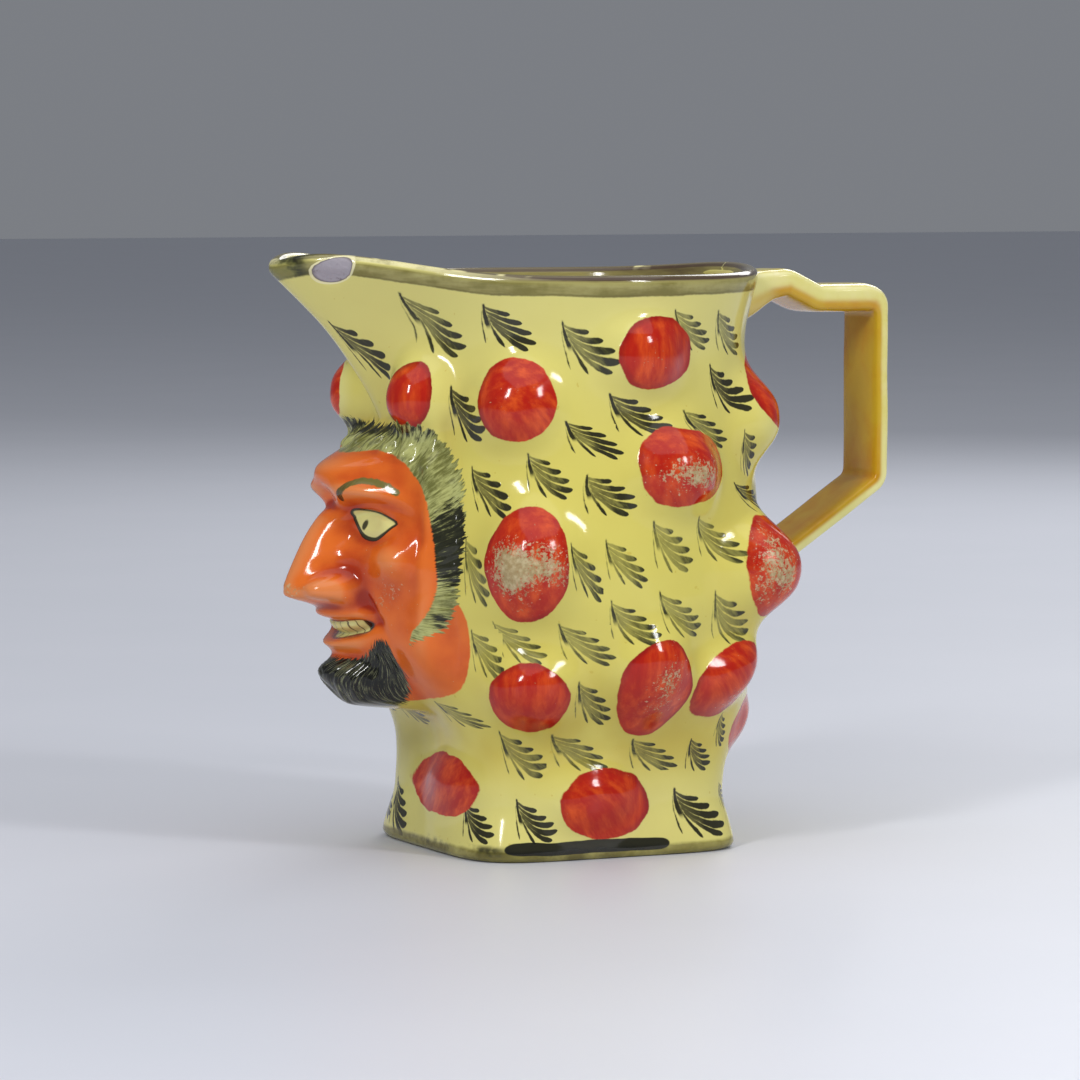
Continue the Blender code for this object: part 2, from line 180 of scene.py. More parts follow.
# Plain forms of the mask, as in the solid: how proud, across, up, half width, half height and, unless
# it is 1, power
MASK_FORMS = (
    (0.24, 0.0, 81.5, 24.0, 8.0),  # forehead
    (-0.16, 0.0, 72.5, 6.0, 3.2),  # root of the nose
    (-0.42, 15.5, 66.0, 8.0, 6.5),  # eye socket
    (0.30, 17.0, 65.6, 7.2, 4.4, 1.6),  # eyeball
    (0.40, 27.0, 54.0, 8.5, 8.0),  # cheekbone
    (0.14, 0.0, 34.2, 13.0, 2.4),  # upper lip
    (0.12, 0.0, 22.6, 12.0, 2.6),  # lower lip
    (0.24, 34.0, 24.0, 10.0, 15.0),  # jowl
)

# Black places in the olive hair: how dark, and then the same terms
DARK_HAIR = (
    (1.0, 43.8, 59.0, 6.5, 15.5, 2.0),  # beside the cheek
    (0.85, 6.0, 98.0, 20.0, 4.2),  # over the forehead
    (0.70, 41.0, 34.0, 3.4, 2.6),  # at the lowest lock
    (0.30, 30.0, 97.0, 10.0, 3.0),  # at the top corner
)

# Forms that only the scene has, in millimetres
CARVED_FORMS = (
    (1.1, 0.0, 24.8, 12.5, 2.4, 1.4),  # fuller lower lip
    (-2.1, 0.0, 75.6, 10.0, 3.4),  # softer ridge between the brows
    (0.8, 0.0, 84.0, 12.0, 4.5),  # fuller forehead
    (-1.1, 9.2, 38.6, 2.6, 1.5),  # nostril
    (-0.9, 9.4, 50.8, 4.2, 2.8),  # over the wing of the nose
    (-1.2, 8.4, 60.5, 2.8, 5.0),  # beside the bridge
)


def forms(across, up, table):
    """The sum of a table's swellings and hollows."""
    return sum(proud * bump(across, up, *shape) for proud, *shape in table)


def mouth_line(across):
    """The height of the parting of the lips: a parabola."""
    return 28.2 + 0.010 * across**2


def mask_relief(angle, height):
    """The mask over the plain body, as in the solid: a broad mass with swellings and hollows added, some of
    which bend along a parabola, then a wedge with two round wings for the nose."""
    across, up = mask_place(angle, height)
    under = rise(up, -3.0, 1.8 + 0.24 * across)
    crown = 1.0 - rise(up, 84.0, 101.0)
    middle = np.exp(-((across / 18.5) ** 2))
    edge = 1.0 - rise(across, 33.0, 47.0)
    face = (0.70 * middle + 0.30 * edge * rise(up, 4.0, 26.0)) * under * crown
    face = face + forms(across, up, MASK_FORMS)
    brow = 76.5 - 0.012 * (across - 14.0) ** 2
    lid = 71.2 - 0.03 * (across - 17.2) ** 2
    parting = mouth_line(across)
    smile_fold = 14.5 + 0.42 * (42.0 - up)
    hair_edge = 40.5 - 0.10 * np.abs(up - 60.0)
    bent = (
        (0.30, 13.5, brow, 12.0, 4.0),
        (0.10, 17.2, lid, 8.5, 1.5),
        (-0.16, smile_fold, 37.0, 2.4, 8.0),
        (-0.44, 0.0, parting, 15.5, 3.6, 2.0),
        (0.24, 0.0, parting + 0.9, 12.5, 1.9, 2.0),  # teeth
        (0.14, hair_edge, 62.0, 4.0, 34.0, 2.0),
    )
    beard = 0.82 * bump(across, up, 0.0, 7.4, 16.2, 10.2, 2.0) * under
    face = face + forms(across, up, bent) + beard
    locks = 0.5 + 0.5 * np.cos(across * 0.72)
    forelock_line = 0.006 * across**2
    forelock = bump(across, up, 10.0, 93.0 - forelock_line, 26.0, 6.0, 1.5)
    face = face + 0.20 * locks * forelock * rise(up + forelock_line, 90.0, 95.0)

    slope = np.clip((70.0 - up) / 26.0, 0.0, 1.0) ** 0.66
    tip = rise(up, 35.0, 41.0)
    ridge = np.exp(-((across / (5.0 + 3.4 * slope)) ** 2))
    nose = slope * tip * ridge
    nose = nose + 0.52 * bump(across, up, 10.0, 42.8, 4.4, 4.6, 1.4)
    return MASK_PROUD * face + NOSE_PROUD * nose


# Knobs on each side: degrees from the spout, level, width and height as shares of the body's height,
# how proud they are beside the boldest, and how far they lean
KNOBS = (
    (21.0, 0.790, 0.070, 0.078, 1.00, 0.0),
    (53.0, 0.785, 0.088, 0.084, 0.75, 0.0),
    (91.0, 0.864, 0.086, 0.080, 0.62, 0.0),
    (101.0, 0.672, 0.098, 0.088, 0.86, 0.0),
    (143.0, 0.752, 0.090, 0.090, 0.88, 0.0),
    (58.0, 0.520, 0.094, 0.112, 0.84, 0.0),
    (131.0, 0.495, 0.104, 0.110, 1.36, 0.0),
    (58.0, 0.293, 0.086, 0.078, 0.72, 0.0),
    (93.0, 0.312, 0.088, 0.100, 0.80, 0.0),
    (121.0, 0.312, 0.092, 0.082, 0.66, -0.5),
    (158.0, 0.210, 0.078, 0.072, 0.50, 0.0),
    (78.0, 0.105, 0.094, 0.066, 0.55, 0.0),
)

# The same for the one at the foot under the mask, which has no fellow on the other side. It is broader and
# lower than in the solid, so that none of its paint hides behind its own crest.
FOOT_KNOB = (19.0, 0.128, 0.110, 0.066, 0.26, 0.0)


def knob_relief(angle, height):
    """The knobs over the plain body, as in the solid: the same on both sides but for the one at the foot."""
    total = 0.0
    placed = [(np.abs(angle), knob) for knob in KNOBS] + [(angle, FOOT_KNOB)]
    for around, (degrees, level, wide, tall, proud, lean) in placed:
        across = (around - math.radians(degrees)) * half_width(np.asarray(level)) / BODY_HEIGHT
        up = height / BODY_HEIGHT - level
        leaned = across + lean * up
        total = total + proud * bump(leaned, up, 0.0, 0.0, wide * 0.80, tall * 0.80, 1.35)
    return KNOB_PROUD * total


def lift(angle, level):
    """How much higher a point stands than its level, because the rim sweeps up to spout and handle."""
    sweep = SPOUT_RISE * np.exp(-((angle / SPOUT_RISE_ANGLE) ** 2))
    sweep = sweep - SPOUT_TIP_DIP * np.exp(-((angle / SPOUT_DIP_ANGLE) ** 2))
    sweep = sweep + BACK_RISE * np.exp(-(((np.abs(angle) - math.pi) / BACK_RISE_ANGLE) ** 2))
    return sweep * rise(level, SPOUT_LEVEL, 1.0)


def place(angle, radius, height):
    """Points from angles, distances from the axis and heights."""
    return np.stack([-radius * np.cos(angle), -radius * np.sin(angle), height], axis=-1)


def plain_point(angle, level):
    """A point of the body without mask or knobs."""
    return place(angle, plain_radius(angle, level), BODY_HEIGHT * level + lift(angle, level))


def inner_point(angle, level, depth):
    """A point at a depth under the plain body, along the cross product of its two tangents."""
    step = 0.002
    along = plain_point(angle + step, level) - plain_point(angle - step, level)
    upward = plain_point(angle, level + step) - plain_point(angle, level - step)
    outward = np.cross(along, upward)
    outward = outward / np.linalg.norm(outward, axis=-1, keepdims=True)
    return plain_point(angle, level) - depth[..., None] * outward


def swirl(across, up, seed, scale):
    """Soft unevenness between -1 and 1: a sum of six sines whose directions and phases follow the seed."""
    chance = np.random.default_rng(seed)
    total = np.zeros(np.broadcast(across, up).shape)
    for _ in range(6):
        turn = chance.uniform(0.0, 2.0 * math.pi)
        pitch = chance.uniform(0.7, 1.6) / scale
        phase = chance.uniform(0.0, 2.0 * math.pi)
        total += np.sin(2.0 * math.pi * pitch * (across * math.cos(turn) + up * math.sin(turn)) + phase)
    return total / 6.0


# Outlines painted on each half of the mask, across and up in hundredths of its height. They run past the
# middle, where the two halves meet.
FACE_EDGE = (
    (-10.0, 89.0), (5.0, 89.5), (10.0, 90.3), (16.0, 91.0), (20.3, 89.6), (26.6, 87.4), (29.8, 83.9),
    (34.2, 79.6), (36.8, 74.6), (38.0, 69.6), (39.9, 61.1), (40.6, 54.6), (41.2, 46.1),
)
OUTLINES = {
    "skin": FACE_EDGE + (
        (44.0, 41.5), (46.9, 40.6), (49.2, 37.0), (50.8, 32.5), (51.0, 26.8), (50.7, 19.7), (48.8, 12.8),
        (45.0, 8.1), (36.8, 5.8), (23.5, 4.2), (10.0, 2.0), (-10.0, 2.0),
    ),
    "face": FACE_EDGE + ((39.9, 38.9), (36.8, 33.2), (32.2, 28.6), (31.0, 15.0), (-10.0, 15.0)),
    "hair": (
        (-10.0, 98.5), (4.0, 98.8), (12.7, 99.4), (20.3, 100.2), (32.3, 100.0), (38.0, 95.8), (42.5, 90.6),
        (45.2, 85.3), (46.6, 78.2), (48.4, 68.2), (49.0, 59.6), (47.8, 51.1), (47.0, 42.5), (45.0, 35.4),
        (42.5, 31.1), (40.6, 28.3), (36.1, 26.6), (31.0, 26.2), (20.0, 26.4), (-10.0, 26.4),
    ),
    "beard": (
        (-10.0, 18.5), (1.9, 18.3), (7.0, 18.3), (10.8, 18.8), (14.6, 21.8), (18.4, 26.2), (20.9, 25.0),
        (22.8, 19.7), (22.6, 15.4), (22.0, 12.0), (20.8, 8.5), (18.6, 5.0), (14.5, 2.4), (7.0, 0.4),
        (-10.0, -0.6),
    ),
    "eye": (
        (8.7, 68.2), (9.3, 70.4), (11.4, 70.9), (13.9, 70.8), (17.8, 70.0), (22.8, 68.3), (26.4, 66.5),
        (24.7, 64.9), (22.2, 62.5), (19.8, 60.6), (17.8, 59.8), (14.6, 60.0), (12.0, 61.5), (10.3, 64.6),
    ),
    "teeth": (
        (-10.0, 30.8), (3.0, 31.0), (8.2, 31.9), (13.9, 32.6), (16.4, 31.6), (15.6, 29.7), (13.9, 28.2),
        (6.3, 26.6), (2.0, 25.0), (-10.0, 24.2),
    ),
}
BROW_LINE = ((8.6, 74.4), (10.6, 77.0), (13.0, 79.5), (15.5, 80.8), (19.0, 80.5), (22.8, 79.1), (26.2, 76.8))
BROW_HALF_WIDTH = 1.25
BEARD_MIDDLE, HAIR_MIDDLE = (19.0, 36.0), (0.0, 38.0)  # what their strands point away from
COMB_RADIUS = 30.0  # millimetres, turns an angle of the combing into a length
PUPIL = (13.4, 65.2, 1.1, 2.3)  # across and up, and half its width and height


def chamfered(outline):
    """The outline with every corner cut once, at a quarter of each side."""
    points = np.array(outline)
    after = np.roll(points, -1, axis=0)
    return np.stack([0.75 * points + 0.25 * after, 0.25 * points + 0.75 * after], axis=1).reshape(-1, 2)


def line_distance(across, up, starts, ends):
    """Distance to the nearest of some straight pieces."""
    nearest = np.full(across.shape, 1e3)
    for (x, y), (end_x, end_y) in zip(starts, ends):
        run, climb = end_x - x, end_y - y
        share = np.clip(((across - x) * run + (up - y) * climb) / (run**2 + climb**2), 0.0, 1.0)
        nearest = np.minimum(nearest, np.hypot(across - x - share * run, up - y - share * climb))
    return nearest


def inside(across, up, outline):
    """Distance inside a closed outline, negative outside. The sign is that of the count of sides crossed by a
    ray to the right."""
    starts = chamfered(outline)
    ends = np.roll(starts, -1, axis=0)
    within = np.zeros(across.shape, dtype=bool)
    for (x, y), (end_x, end_y) in zip(starts, ends):
        if end_y != y:
            crossing = x + (up - y) * (end_x - x) / (end_y - y)
            within ^= ((y > up) != (end_y > up)) & (across < crossing)
    nearest = line_distance(across, up, starts, ends)
    return np.where(within, nearest, -nearest)


def combing(across, up, middle, way):
    """Which strand a place is on, in radians, and how far along it: polar round a point. Way is 1 where
    strands rise from it and -1 where they hang."""
    right, along = across - middle[0], way * (up - middle[1])
    return np.arctan2(right, along), np.hypot(right, along)


def carving(angle, height):
    """Fine modelling that the solid leaves out, in metres: sines for the locks cut in hair and beard, a high
    power of a cosine for the gaps between teeth, and swellings for lids, lips, nostrils and folds. Slow sums
    of sines add the unevenness of a pressed pot."""
    across, up = mask_place(angle, height)
    beard = rise(inside(across, up, OUTLINES["beard"]), 0.0, 3.0)
    hair = np.minimum(inside(across, up, OUTLINES["hair"]), -inside(across, up, OUTLINES["face"]))
    hair = rise(hair, 0.0, 2.5)
    strand, along = combing(across, up, BEARD_MIDDLE, -1.0)
    beard_cut = np.sin(strand * 46.0 + 0.16 * along) * 0.6 + np.sin(strand * 79.0 - 0.11 * along) * 0.4
    lock, out = combing(across, up, HAIR_MIDDLE, 1.0)
    wander = swirl(across, up, 5, 26.0)
    hair_cut = np.sin(lock * 58.0 + 5.0 * wander) * 0.6 + np.sin(lock * 97.0 + out * 0.22) * 0.4
    cut = 0.36 * beard_cut * beard + 0.14 * hair_cut * hair + forms(across, up, CARVED_FORMS)

    parting = mouth_line(across)
    in_mouth = bump(across, up, 0.0, parting + 0.9, 12.5, 2.6, 3.0)
    gaps = np.abs(np.cos(across * math.pi / TOOTH_WIDTH)) ** 14
    upper_lid = 71.4 - 0.040 * (across - 15.5) ** 2
    lower_lid = 59.6 + 0.050 * (across - 16.5) ** 2
    nose_fold = 14.5 - 0.2 * (up - 44.0)
    bent = (
        (0.50, 0.0, parting + 0.4, 13.5, 2.6, 2.5),  # teeth
        (0.35, 17.0, upper_lid, 9.5, 0.9, 1.4),
        (-0.40, 17.0, upper_lid - 2.0, 9.0, 0.8, 1.4),
        (0.30, 16.5, lower_lid, 9.0, 0.9, 1.4),
        (-0.45, nose_fold, 44.0, 1.5, 5.0),
    )
    cut = cut - 0.50 * gaps * in_mouth + forms(across, up, bent)
    around = angle * BELLY_HALF_WIDTH
    cut = cut + 0.22 * swirl(around, height, 11, 0.030) + 0.10 * swirl(around, height, 12, 0.011)
    return cut * MM


def outer_point(angle, level):
    """A point of the outside: the plain body, mask, knobs and fine carving along the radius."""
    height = BODY_HEIGHT * level
    relief = mask_relief(angle, height) + knob_relief(angle, height) + carving(angle, height)
    relief = relief * (1.0 - rise(level, 0.90, 0.97)) * rise(level, 0.0, 0.03)
    return place(angle, plain_radius(angle, level) + relief, height + lift(angle, level))


def surroundings(angle, height, reach):
    """Mean relief of eight places around a point less its own: positive in hollows, in metres."""
    total = 0.0
    for number in range(8):
        turn = number * math.pi / 4.0
        near_angle = angle + reach * math.cos(turn) / BELLY_HALF_WIDTH
        near_height = height + reach * math.sin(turn)
        total = total + mask_relief(near_angle, near_height) + knob_relief(near_angle, near_height)
    return total / 8.0 - mask_relief(angle, height) - knob_relief(angle, height)


class Camera:
    """The photograph's camera: where it stands and where a point falls in the photograph."""

    def __init__(self):
        turn, pitch = math.radians(CAMERA_AZIMUTH), math.radians(CAMERA_PITCH)
        self.right = np.array([math.cos(turn), math.sin(turn), 0.0])
        level_ahead = np.array([-math.sin(turn), math.cos(turn), 0.0])
        self.ahead = level_ahead * math.cos(pitch) - np.array([0.0, 0.0, math.sin(pitch)])
        self.up = np.cross(self.right, self.ahead)
        self.at = -level_ahead * CAMERA_DISTANCE + self.right * CAMERA_STEP
        self.at[2] = CAMERA_HEIGHT

    def pixels(self, points):
        """Across and down the photograph, in its own pixels."""
        away = points - self.at
        depth = away @ self.ahead
        return (
            PHOTO_SIZE / 2 + FOCAL_PIXELS * (away @ self.right) / depth,
            PHOTO_SIZE / 2 - FOCAL_PIXELS * (away @ self.up) / depth,
        )

    def build(self):
        """The scene's camera."""
        data = bpy.data.cameras.new("camera")
        data.lens = FOCAL_PIXELS / PHOTO_SIZE * data.sensor_width
        thing = bpy.data.objects.new("camera", data)
        thing.location = self.at
        thing.rotation_euler = (math.radians(90.0 - CAMERA_PITCH), 0.0, math.radians(CAMERA_AZIMUTH))
        bpy.context.scene.collection.objects.link(thing)
        bpy.context.scene.camera = thing


class Skin:
    """The grid of the outside: its angles, levels, points and where each falls in the photograph."""

    MARGIN = 0.002  # how far the fine rows run past the mask
    GRAZING = 0.02  # cosine under which a place counts as unseen
    UNSEEN = 1e9

    def __init__(self, camera):
        front = np.linspace(-FACE_HALF_ANGLE, FACE_HALF_ANGLE, FACE_COLUMNS + 1)
        back = np.linspace(FACE_HALF_ANGLE, 2.0 * math.pi - FACE_HALF_ANGLE, BACK_COLUMNS + 1)
        turned = np.concatenate([front, back[1:-1]])
        angles = np.where(turned > math.pi, turned - 2.0 * math.pi, turned)
        base = (MASK_BASE - self.MARGIN) / BODY_HEIGHT
        top = (MASK_BASE + MASK_HEIGHT + self.MARGIN) / BODY_HEIGHT
        foot = np.linspace(FOOT_EDGE_ROUND / BODY_HEIGHT, base, FOOT_ROWS)
        face = np.linspace(base, top, FACE_ROWS)
        neck = np.linspace(top, 1.0 - LIP_THICKNESS / BODY_HEIGHT * 0.5, NECK_ROWS)
        levels = np.concatenate([foot, face[1:], neck[1:]])
        self.angle, self.level = np.meshgrid(angles, levels)
        self.height = self.level * BODY_HEIGHT
        self.points = outer_point(self.angle, self.level)
        self.x, self.y = camera.pixels(self.points)
        round_it = np.roll(self.points, -1, axis=1) - np.roll(self.points, 1, axis=1)
        outward = np.cross(round_it, np.gradient(self.points, axis=0))
        facing = (outward * (camera.at - self.points)).sum(-1)
        self.seen = facing > self.GRAZING * np.linalg.norm(outward, axis=-1)

    def find(self, x, y):
        """The angle and height of the visible place that falls on a pixel of the photograph."""
        miss = (self.x - x) ** 2 + (self.y - y) ** 2 + np.where(self.seen, 0.0, self.UNSEEN)
        index = np.unravel_index(np.argmin(miss), miss.shape)
        return self.angle[index], self.height[index]

    def around(self, angle):
        """Metres round the belly from an angle, the short way."""
        return ((self.angle - angle + math.pi) % (2.0 * math.pi) - math.pi) * BELLY_HALF_WIDTH


# Red patches: degrees from the spout, millimetres up, degrees to the near edge and to the far edge, half
# height in millimetres, turn in degrees, how pointed the top is, and whether the far side has one too
PATCHES = (
    (23.6, 103.0, 7.8, 5.6, 6.9, 0.0, 0.05, True),
    (54.0, 102.4, 11.8, 10.8, 9.2, 14.0, 0.0, True),
    (92.6, 112.4, 11.0, 16.4, 8.1, 0.0, 0.0, True),
    (98.0, 87.6, 11.4, 22.0, 8.7, 0.0, 0.0, True),
    (147.0, 102.6, 12.6, 11.0, 8.6, 0.0, 0.0, True),
    (57.6, 66.8, 11.4, 10.6, 12.7, -4.0, 0.0, True),
    (130.5, 64.6, 11.6, 11.6, 11.2, 0.0, 0.0, True),
    (57.8, 37.2, 11.4, 10.4, 8.2, 12.0, 0.0, True),
    (95.5, 38.8, 13.2, 9.8, 11.4, 6.0, 0.12, True),
    (120.5, 39.6, 14.0, 13.0, 8.0, 28.0, 0.0, True),
    (153.0, 26.8, 18.0, 14.0, 7.6, 0.0, 0.0, True),
    (22.0, 15.6, 41.5, 16.5, 7.2, 0.0, 0.0, False),
    (82.0, 12.4, 16.6, 19.4, 8.1, 0.0, 0.0, True),
)

PATCH_SHIFT = 0.7  # millimetres that a patch on the far side may be off its fellow

# Worn places on the paint: the middle in the photograph, half width and half height, and how bare
WORN = (
    (694.0, 474.0, 0.0100, 0.0044, 1.0),
    (538.0, 565.0, 0.0080, 0.0058, 1.0),
    (506.0, 575.0, 0.0045, 0.0070, 0.75),
    (786.0, 570.0, 0.0060, 0.0085, 0.95),
    (668.0, 688.0, 0.0050, 0.0080, 0.75),
    (512.0, 400.0, 0.0060, 0.0050, 0.25),
    (655.0, 365.0, 0.0060, 0.0050, 0.25),
    (390.0, 592.0, 0.0060, 0.0070, 0.42),
    (291.0, 590.0, 0.0022, 0.0022, 0.8),
    (740.0, 690.0, 0.0040, 0.0060, 0.35),
    (412.0, 655.0, 0.0050, 0.0050, 0.2),
)

FAR_WEAR = 0.7  # how bare the same places are on the far side

# Sprigs: left, top, right and bottom in the photograph, and how dark
SPRIGS = (
    (349, 319, 386, 378, 0.85), (408, 302, 467, 354, 0.62), (480, 305, 537, 348, 0.88),
    (560, 319, 617, 375, 0.66), (677, 309, 710, 350, 0.50), (714, 311, 739, 354, 0.55),
    (710, 363, 748, 412, 0.92), (446, 387, 485, 443, 0.95), (606, 392, 668, 437, 0.88),
    (563, 419, 620, 458, 0.85), (681, 406, 733, 450, 0.60), (739, 427, 757, 475, 0.66),
    (471, 464, 512, 516, 0.72), (525, 454, 572, 499, 0.62), (583, 470, 642, 516, 0.68),
    (733, 479, 762, 516, 0.85), (463, 537, 487, 603, 0.40), (571, 545, 602, 599, 0.55),
    (604, 539, 649, 586, 0.42), (652, 520, 692, 572, 0.36), (695, 516, 744, 562, 0.38),
    (493, 622, 543, 663, 0.34), (470, 628, 505, 680, 0.40), (556, 624, 613, 665, 0.44),
    (606, 601, 662, 645, 0.50), (660, 591, 702, 640, 0.42), (711, 593, 751, 645, 0.42),
    (573, 682, 620, 723, 0.52), (442, 705, 491, 726, 0.42), (399, 705, 428, 722, 0.40),
    (502, 732, 546, 779, 0.48), (550, 734, 606, 773, 0.46), (627, 736, 680, 769, 0.55),
    (686, 738, 711, 771, 0.75), (714, 713, 726, 748, 0.60), (391, 779, 410, 835, 1.0),
    (462, 804, 497, 844, 1.0), (514, 802, 556, 846, 1.0), (668, 786, 722, 838, 1.0),
    (718, 777, 734, 808, 0.6),
)

# Sprigs behind the handle: degrees from the spout and share of the height, on each side of it
BACK_SPRIGS = (
    (166.0, 0.86), (173.0, 0.70), (160.0, 0.60), (168.0, 0.38), (150.0, 0.36), (176.0, 0.27), (170.0, 0.10),
)
SPRIG_SIZE = 0.0105  # behind the handle
SPRIG_WIDTHS, SPRIG_HEIGHTS = (0.0055, 0.0175), (0.0040, 0.0150)  # least and most
MIRRORED_WIDTH = 0.008  # least on the far side, where none is seen edge on
MIRRORED_FROM = 0.15  # radians from the spout
SPRIG_MARGIN = 0.10  # share of a sprig's box kept free around it
NO_SPRIG = -5.0

# The chip beside the spout: degrees and millimetres to its middle, and half its width and height
CHIP = (10.9, 126.0, 3.2, 3.0)
CHIP_SLANT = 0.70  # degrees further round for each millimetre up
CHIP_DEPTH = 0.0005
CHIP_EDGE = 0.7  # millimetres over which it reaches its depth


def patch_field(skin):
    """Millimetres inside the nearest red patch: one less the length of an ellipse's own coordinates, times
    its half height. Each patch is repeated on the far side, moved a little as a painter would."""
    chance = np.random.default_rng(3)
    field = np.full(skin.angle.shape, OUTSIDE_FIELD)
    for degrees, up_mm, near, far, half_mm, turn, point, twice in PATCHES:
        cos, sin = math.cos(math.radians(turn)), math.sin(math.radians(turn))
        for side in (1.0, -1.0) if twice else (1.0,):
            shift = chance.uniform(-PATCH_SHIFT, PATCH_SHIFT, 2) * (side < 0.0)
            across = skin.around(side * math.radians(degrees)) * side / MM + shift[0]
            up = skin.height / MM - up_mm + shift[1]
            along, over = across * cos + up * sin, up * cos - across * sin
            wide = np.radians(np.where(along < 0.0, near, far)) * BELLY_HALF_WIDTH / MM
            narrowed = wide * (1.0 - point * np.clip(over / half_mm, -1.0, 1.0))
            ellipse = 1.0 - np.sqrt((along / narrowed) ** 2 + (over / half_mm) ** 2)
            field = np.maximum(field, ellipse * half_mm)
    return field


def wear_field(skin):
    """How bare the paint is rubbed, from 0 to 1: rounded swellings on the worn places."""
    field = np.zeros(skin.angle.shape)
    for x, y, wide, tall, bare in WORN:
        angle, height = skin.find(x, y)
        for side, share in ((1.0, 1.0), (-1.0, FAR_WEAR)):
            across = skin.around(side * angle)
            field += bare * share * bump(across, skin.height, 0.0, height, wide, tall)
    return field


def chip_inside(angle, height):
    """Millimetres inside the chip's oval."""
    degrees, up_mm, half_degrees, half_mm = CHIP
    up = height / MM - up_mm
    across = (np.degrees(angle) - degrees - CHIP_SLANT * up) / half_degrees
    return (1.0 - np.sqrt(across**2 + (up / half_mm) ** 2)) * half_mm


def mask_fields(skin):
    """The painted regions of the mask, each as hundredths of the mask's height inside its outline."""
    across, up = mask_place(skin.angle, skin.height)
    brow = BROW_HALF_WIDTH - line_distance(across, up, BROW_LINE[:-1], BROW_LINE[1:])
    pupil_across, pupil_up, pupil_wide, pupil_tall = PUPIL
    leaning = across - pupil_across - 0.2 * (up - pupil_up + 0.2)
    strand, along = combing(across, up, BEARD_MIDDLE, -1.0)
    lock, out = combing(across, up, HAIR_MIDDLE, 1.0)
    side = np.sign(skin.angle)
    fields = {name + "_paint": inside(across, up, outline) for name, outline in OUTLINES.items()}
    return fields | {
        "pupil_paint": 1.0 - np.hypot(leaning / pupil_wide, (up - pupil_up) / pupil_tall),
        "brow_paint": brow,
        "hair_dark": forms(across, up, DARK_HAIR),
        "mask_across": across,
        "mask_up": up,
        "hair_round": lock * COMB_RADIUS * side,
        "hair_out": out * MASK_HEIGHT * 10.0,
        "beard_round": strand * COMB_RADIUS * side,
        "beard_out": along * MASK_HEIGHT * 10.0,
    }


def sprig_map(skin):
    """For every face of the outside, the sprig on it. Each corner gets its place in that sprig's own box,
    right and down from 0 to 1, and each face the sprig's darkness and its chance number."""
    chance = np.random.default_rng(8)
    boxes = []
    for left, top, right, bottom, dark in SPRIGS:
        mid_x, mid_y = 0.5 * (left + right), 0.5 * (top + bottom)
        left_angle, right_angle = skin.find(left, mid_y)[0], skin.find(right, mid_y)[0]
        top_height, bottom_height = skin.find(mid_x, top)[1], skin.find(mid_x, bottom)[1]
        wide = float(np.clip(abs(right_angle - left_angle) * BELLY_HALF_WIDTH, *SPRIG_WIDTHS))
        tall = float(np.clip(top_height - bottom_height, *SPRIG_HEIGHTS))
        angle = 0.5 * (left_angle + right_angle)
        height = 0.5 * (top_height + bottom_height)
        boxes.append((angle, height, wide, tall, dark, chance.uniform()))
        if angle > MIRRORED_FROM:
            other = dark * chance.uniform(0.8, 1.1)
            boxes.append((-angle, height, max(wide, MIRRORED_WIDTH), tall, other, chance.uniform()))
    for degrees, level in BACK_SPRIGS:
        for side in (1.0, -1.0):
            angle = side * math.radians(degrees + chance.uniform(-3.0, 3.0))
            height = BODY_HEIGHT * (level + 0.02 * side)
            dark = chance.uniform(0.4, 0.8)
            boxes.append((angle, height, SPRIG_SIZE, SPRIG_SIZE, dark, chance.uniform()))

    columns = skin.angle.shape[1]
    here, after = np.arange(columns), np.roll(np.arange(columns), -1)
    low, high = slice(None, -1), slice(1, None)
    corners = ((low, here), (low, after), (high, after), (high, here))
    shape = (skin.angle.shape[0] - 1, columns)
    best = np.full(shape, np.inf)
    uv = np.full(shape + (4, 2), NO_SPRIG)
    tone = np.zeros(shape)
    seed = np.zeros(shape)
    for angle, height, wide, tall, dark, number in boxes:
        right = skin.around(angle) / wide + 0.5
        down = (height - skin.height) / tall + 0.5
        places = [(right[rows][:, order], down[rows][:, order]) for rows, order in corners]
        far = np.maximum.reduce([np.maximum(np.abs(x - 0.5), np.abs(y - 0.5)) for x, y in places])
        mine = (far < 0.5 + SPRIG_MARGIN) & (far < best)
        best[mine] = far[mine]
        for corner, (at_right, at_down) in enumerate(places):
            uv[mine, corner, 0] = at_right[mine]
            uv[mine, corner, 1] = at_down[mine]
        tone[mine] = dark
        seed[mine] = number
    return uv, tone, seed


def ring_faces(lower, upper):
    """Quads between two rings, or rows of rings, of equal length, looking out when upper is above."""
    return np.stack([lower, np.roll(lower, -1, -1), np.roll(upper, -1, -1), upper], axis=-1).reshape(-1, 4)


def mesh_object(name, vertices, faces, smooth=True):
    """An object at the origin from arrays of vertices and lists of faces."""
    mesh = bpy.data.meshes.new(name)
    mesh.from_pydata(vertices.tolist(), [], faces)
    mesh.polygons.foreach_set("use_smooth", np.full(len(mesh.polygons), smooth))
    mesh.update()
    thing = bpy.data.objects.new(name, mesh)
    bpy.context.scene.collection.objects.link(thing)
    return thing


def add_values(mesh, name, values, domain="POINT"):
    """Store one number for each vertex or face."""
    layer = mesh.attributes.new(name, "FLOAT", domain)
    layer.data.foreach_set("value", np.ascontiguousarray(values, dtype=np.float32))


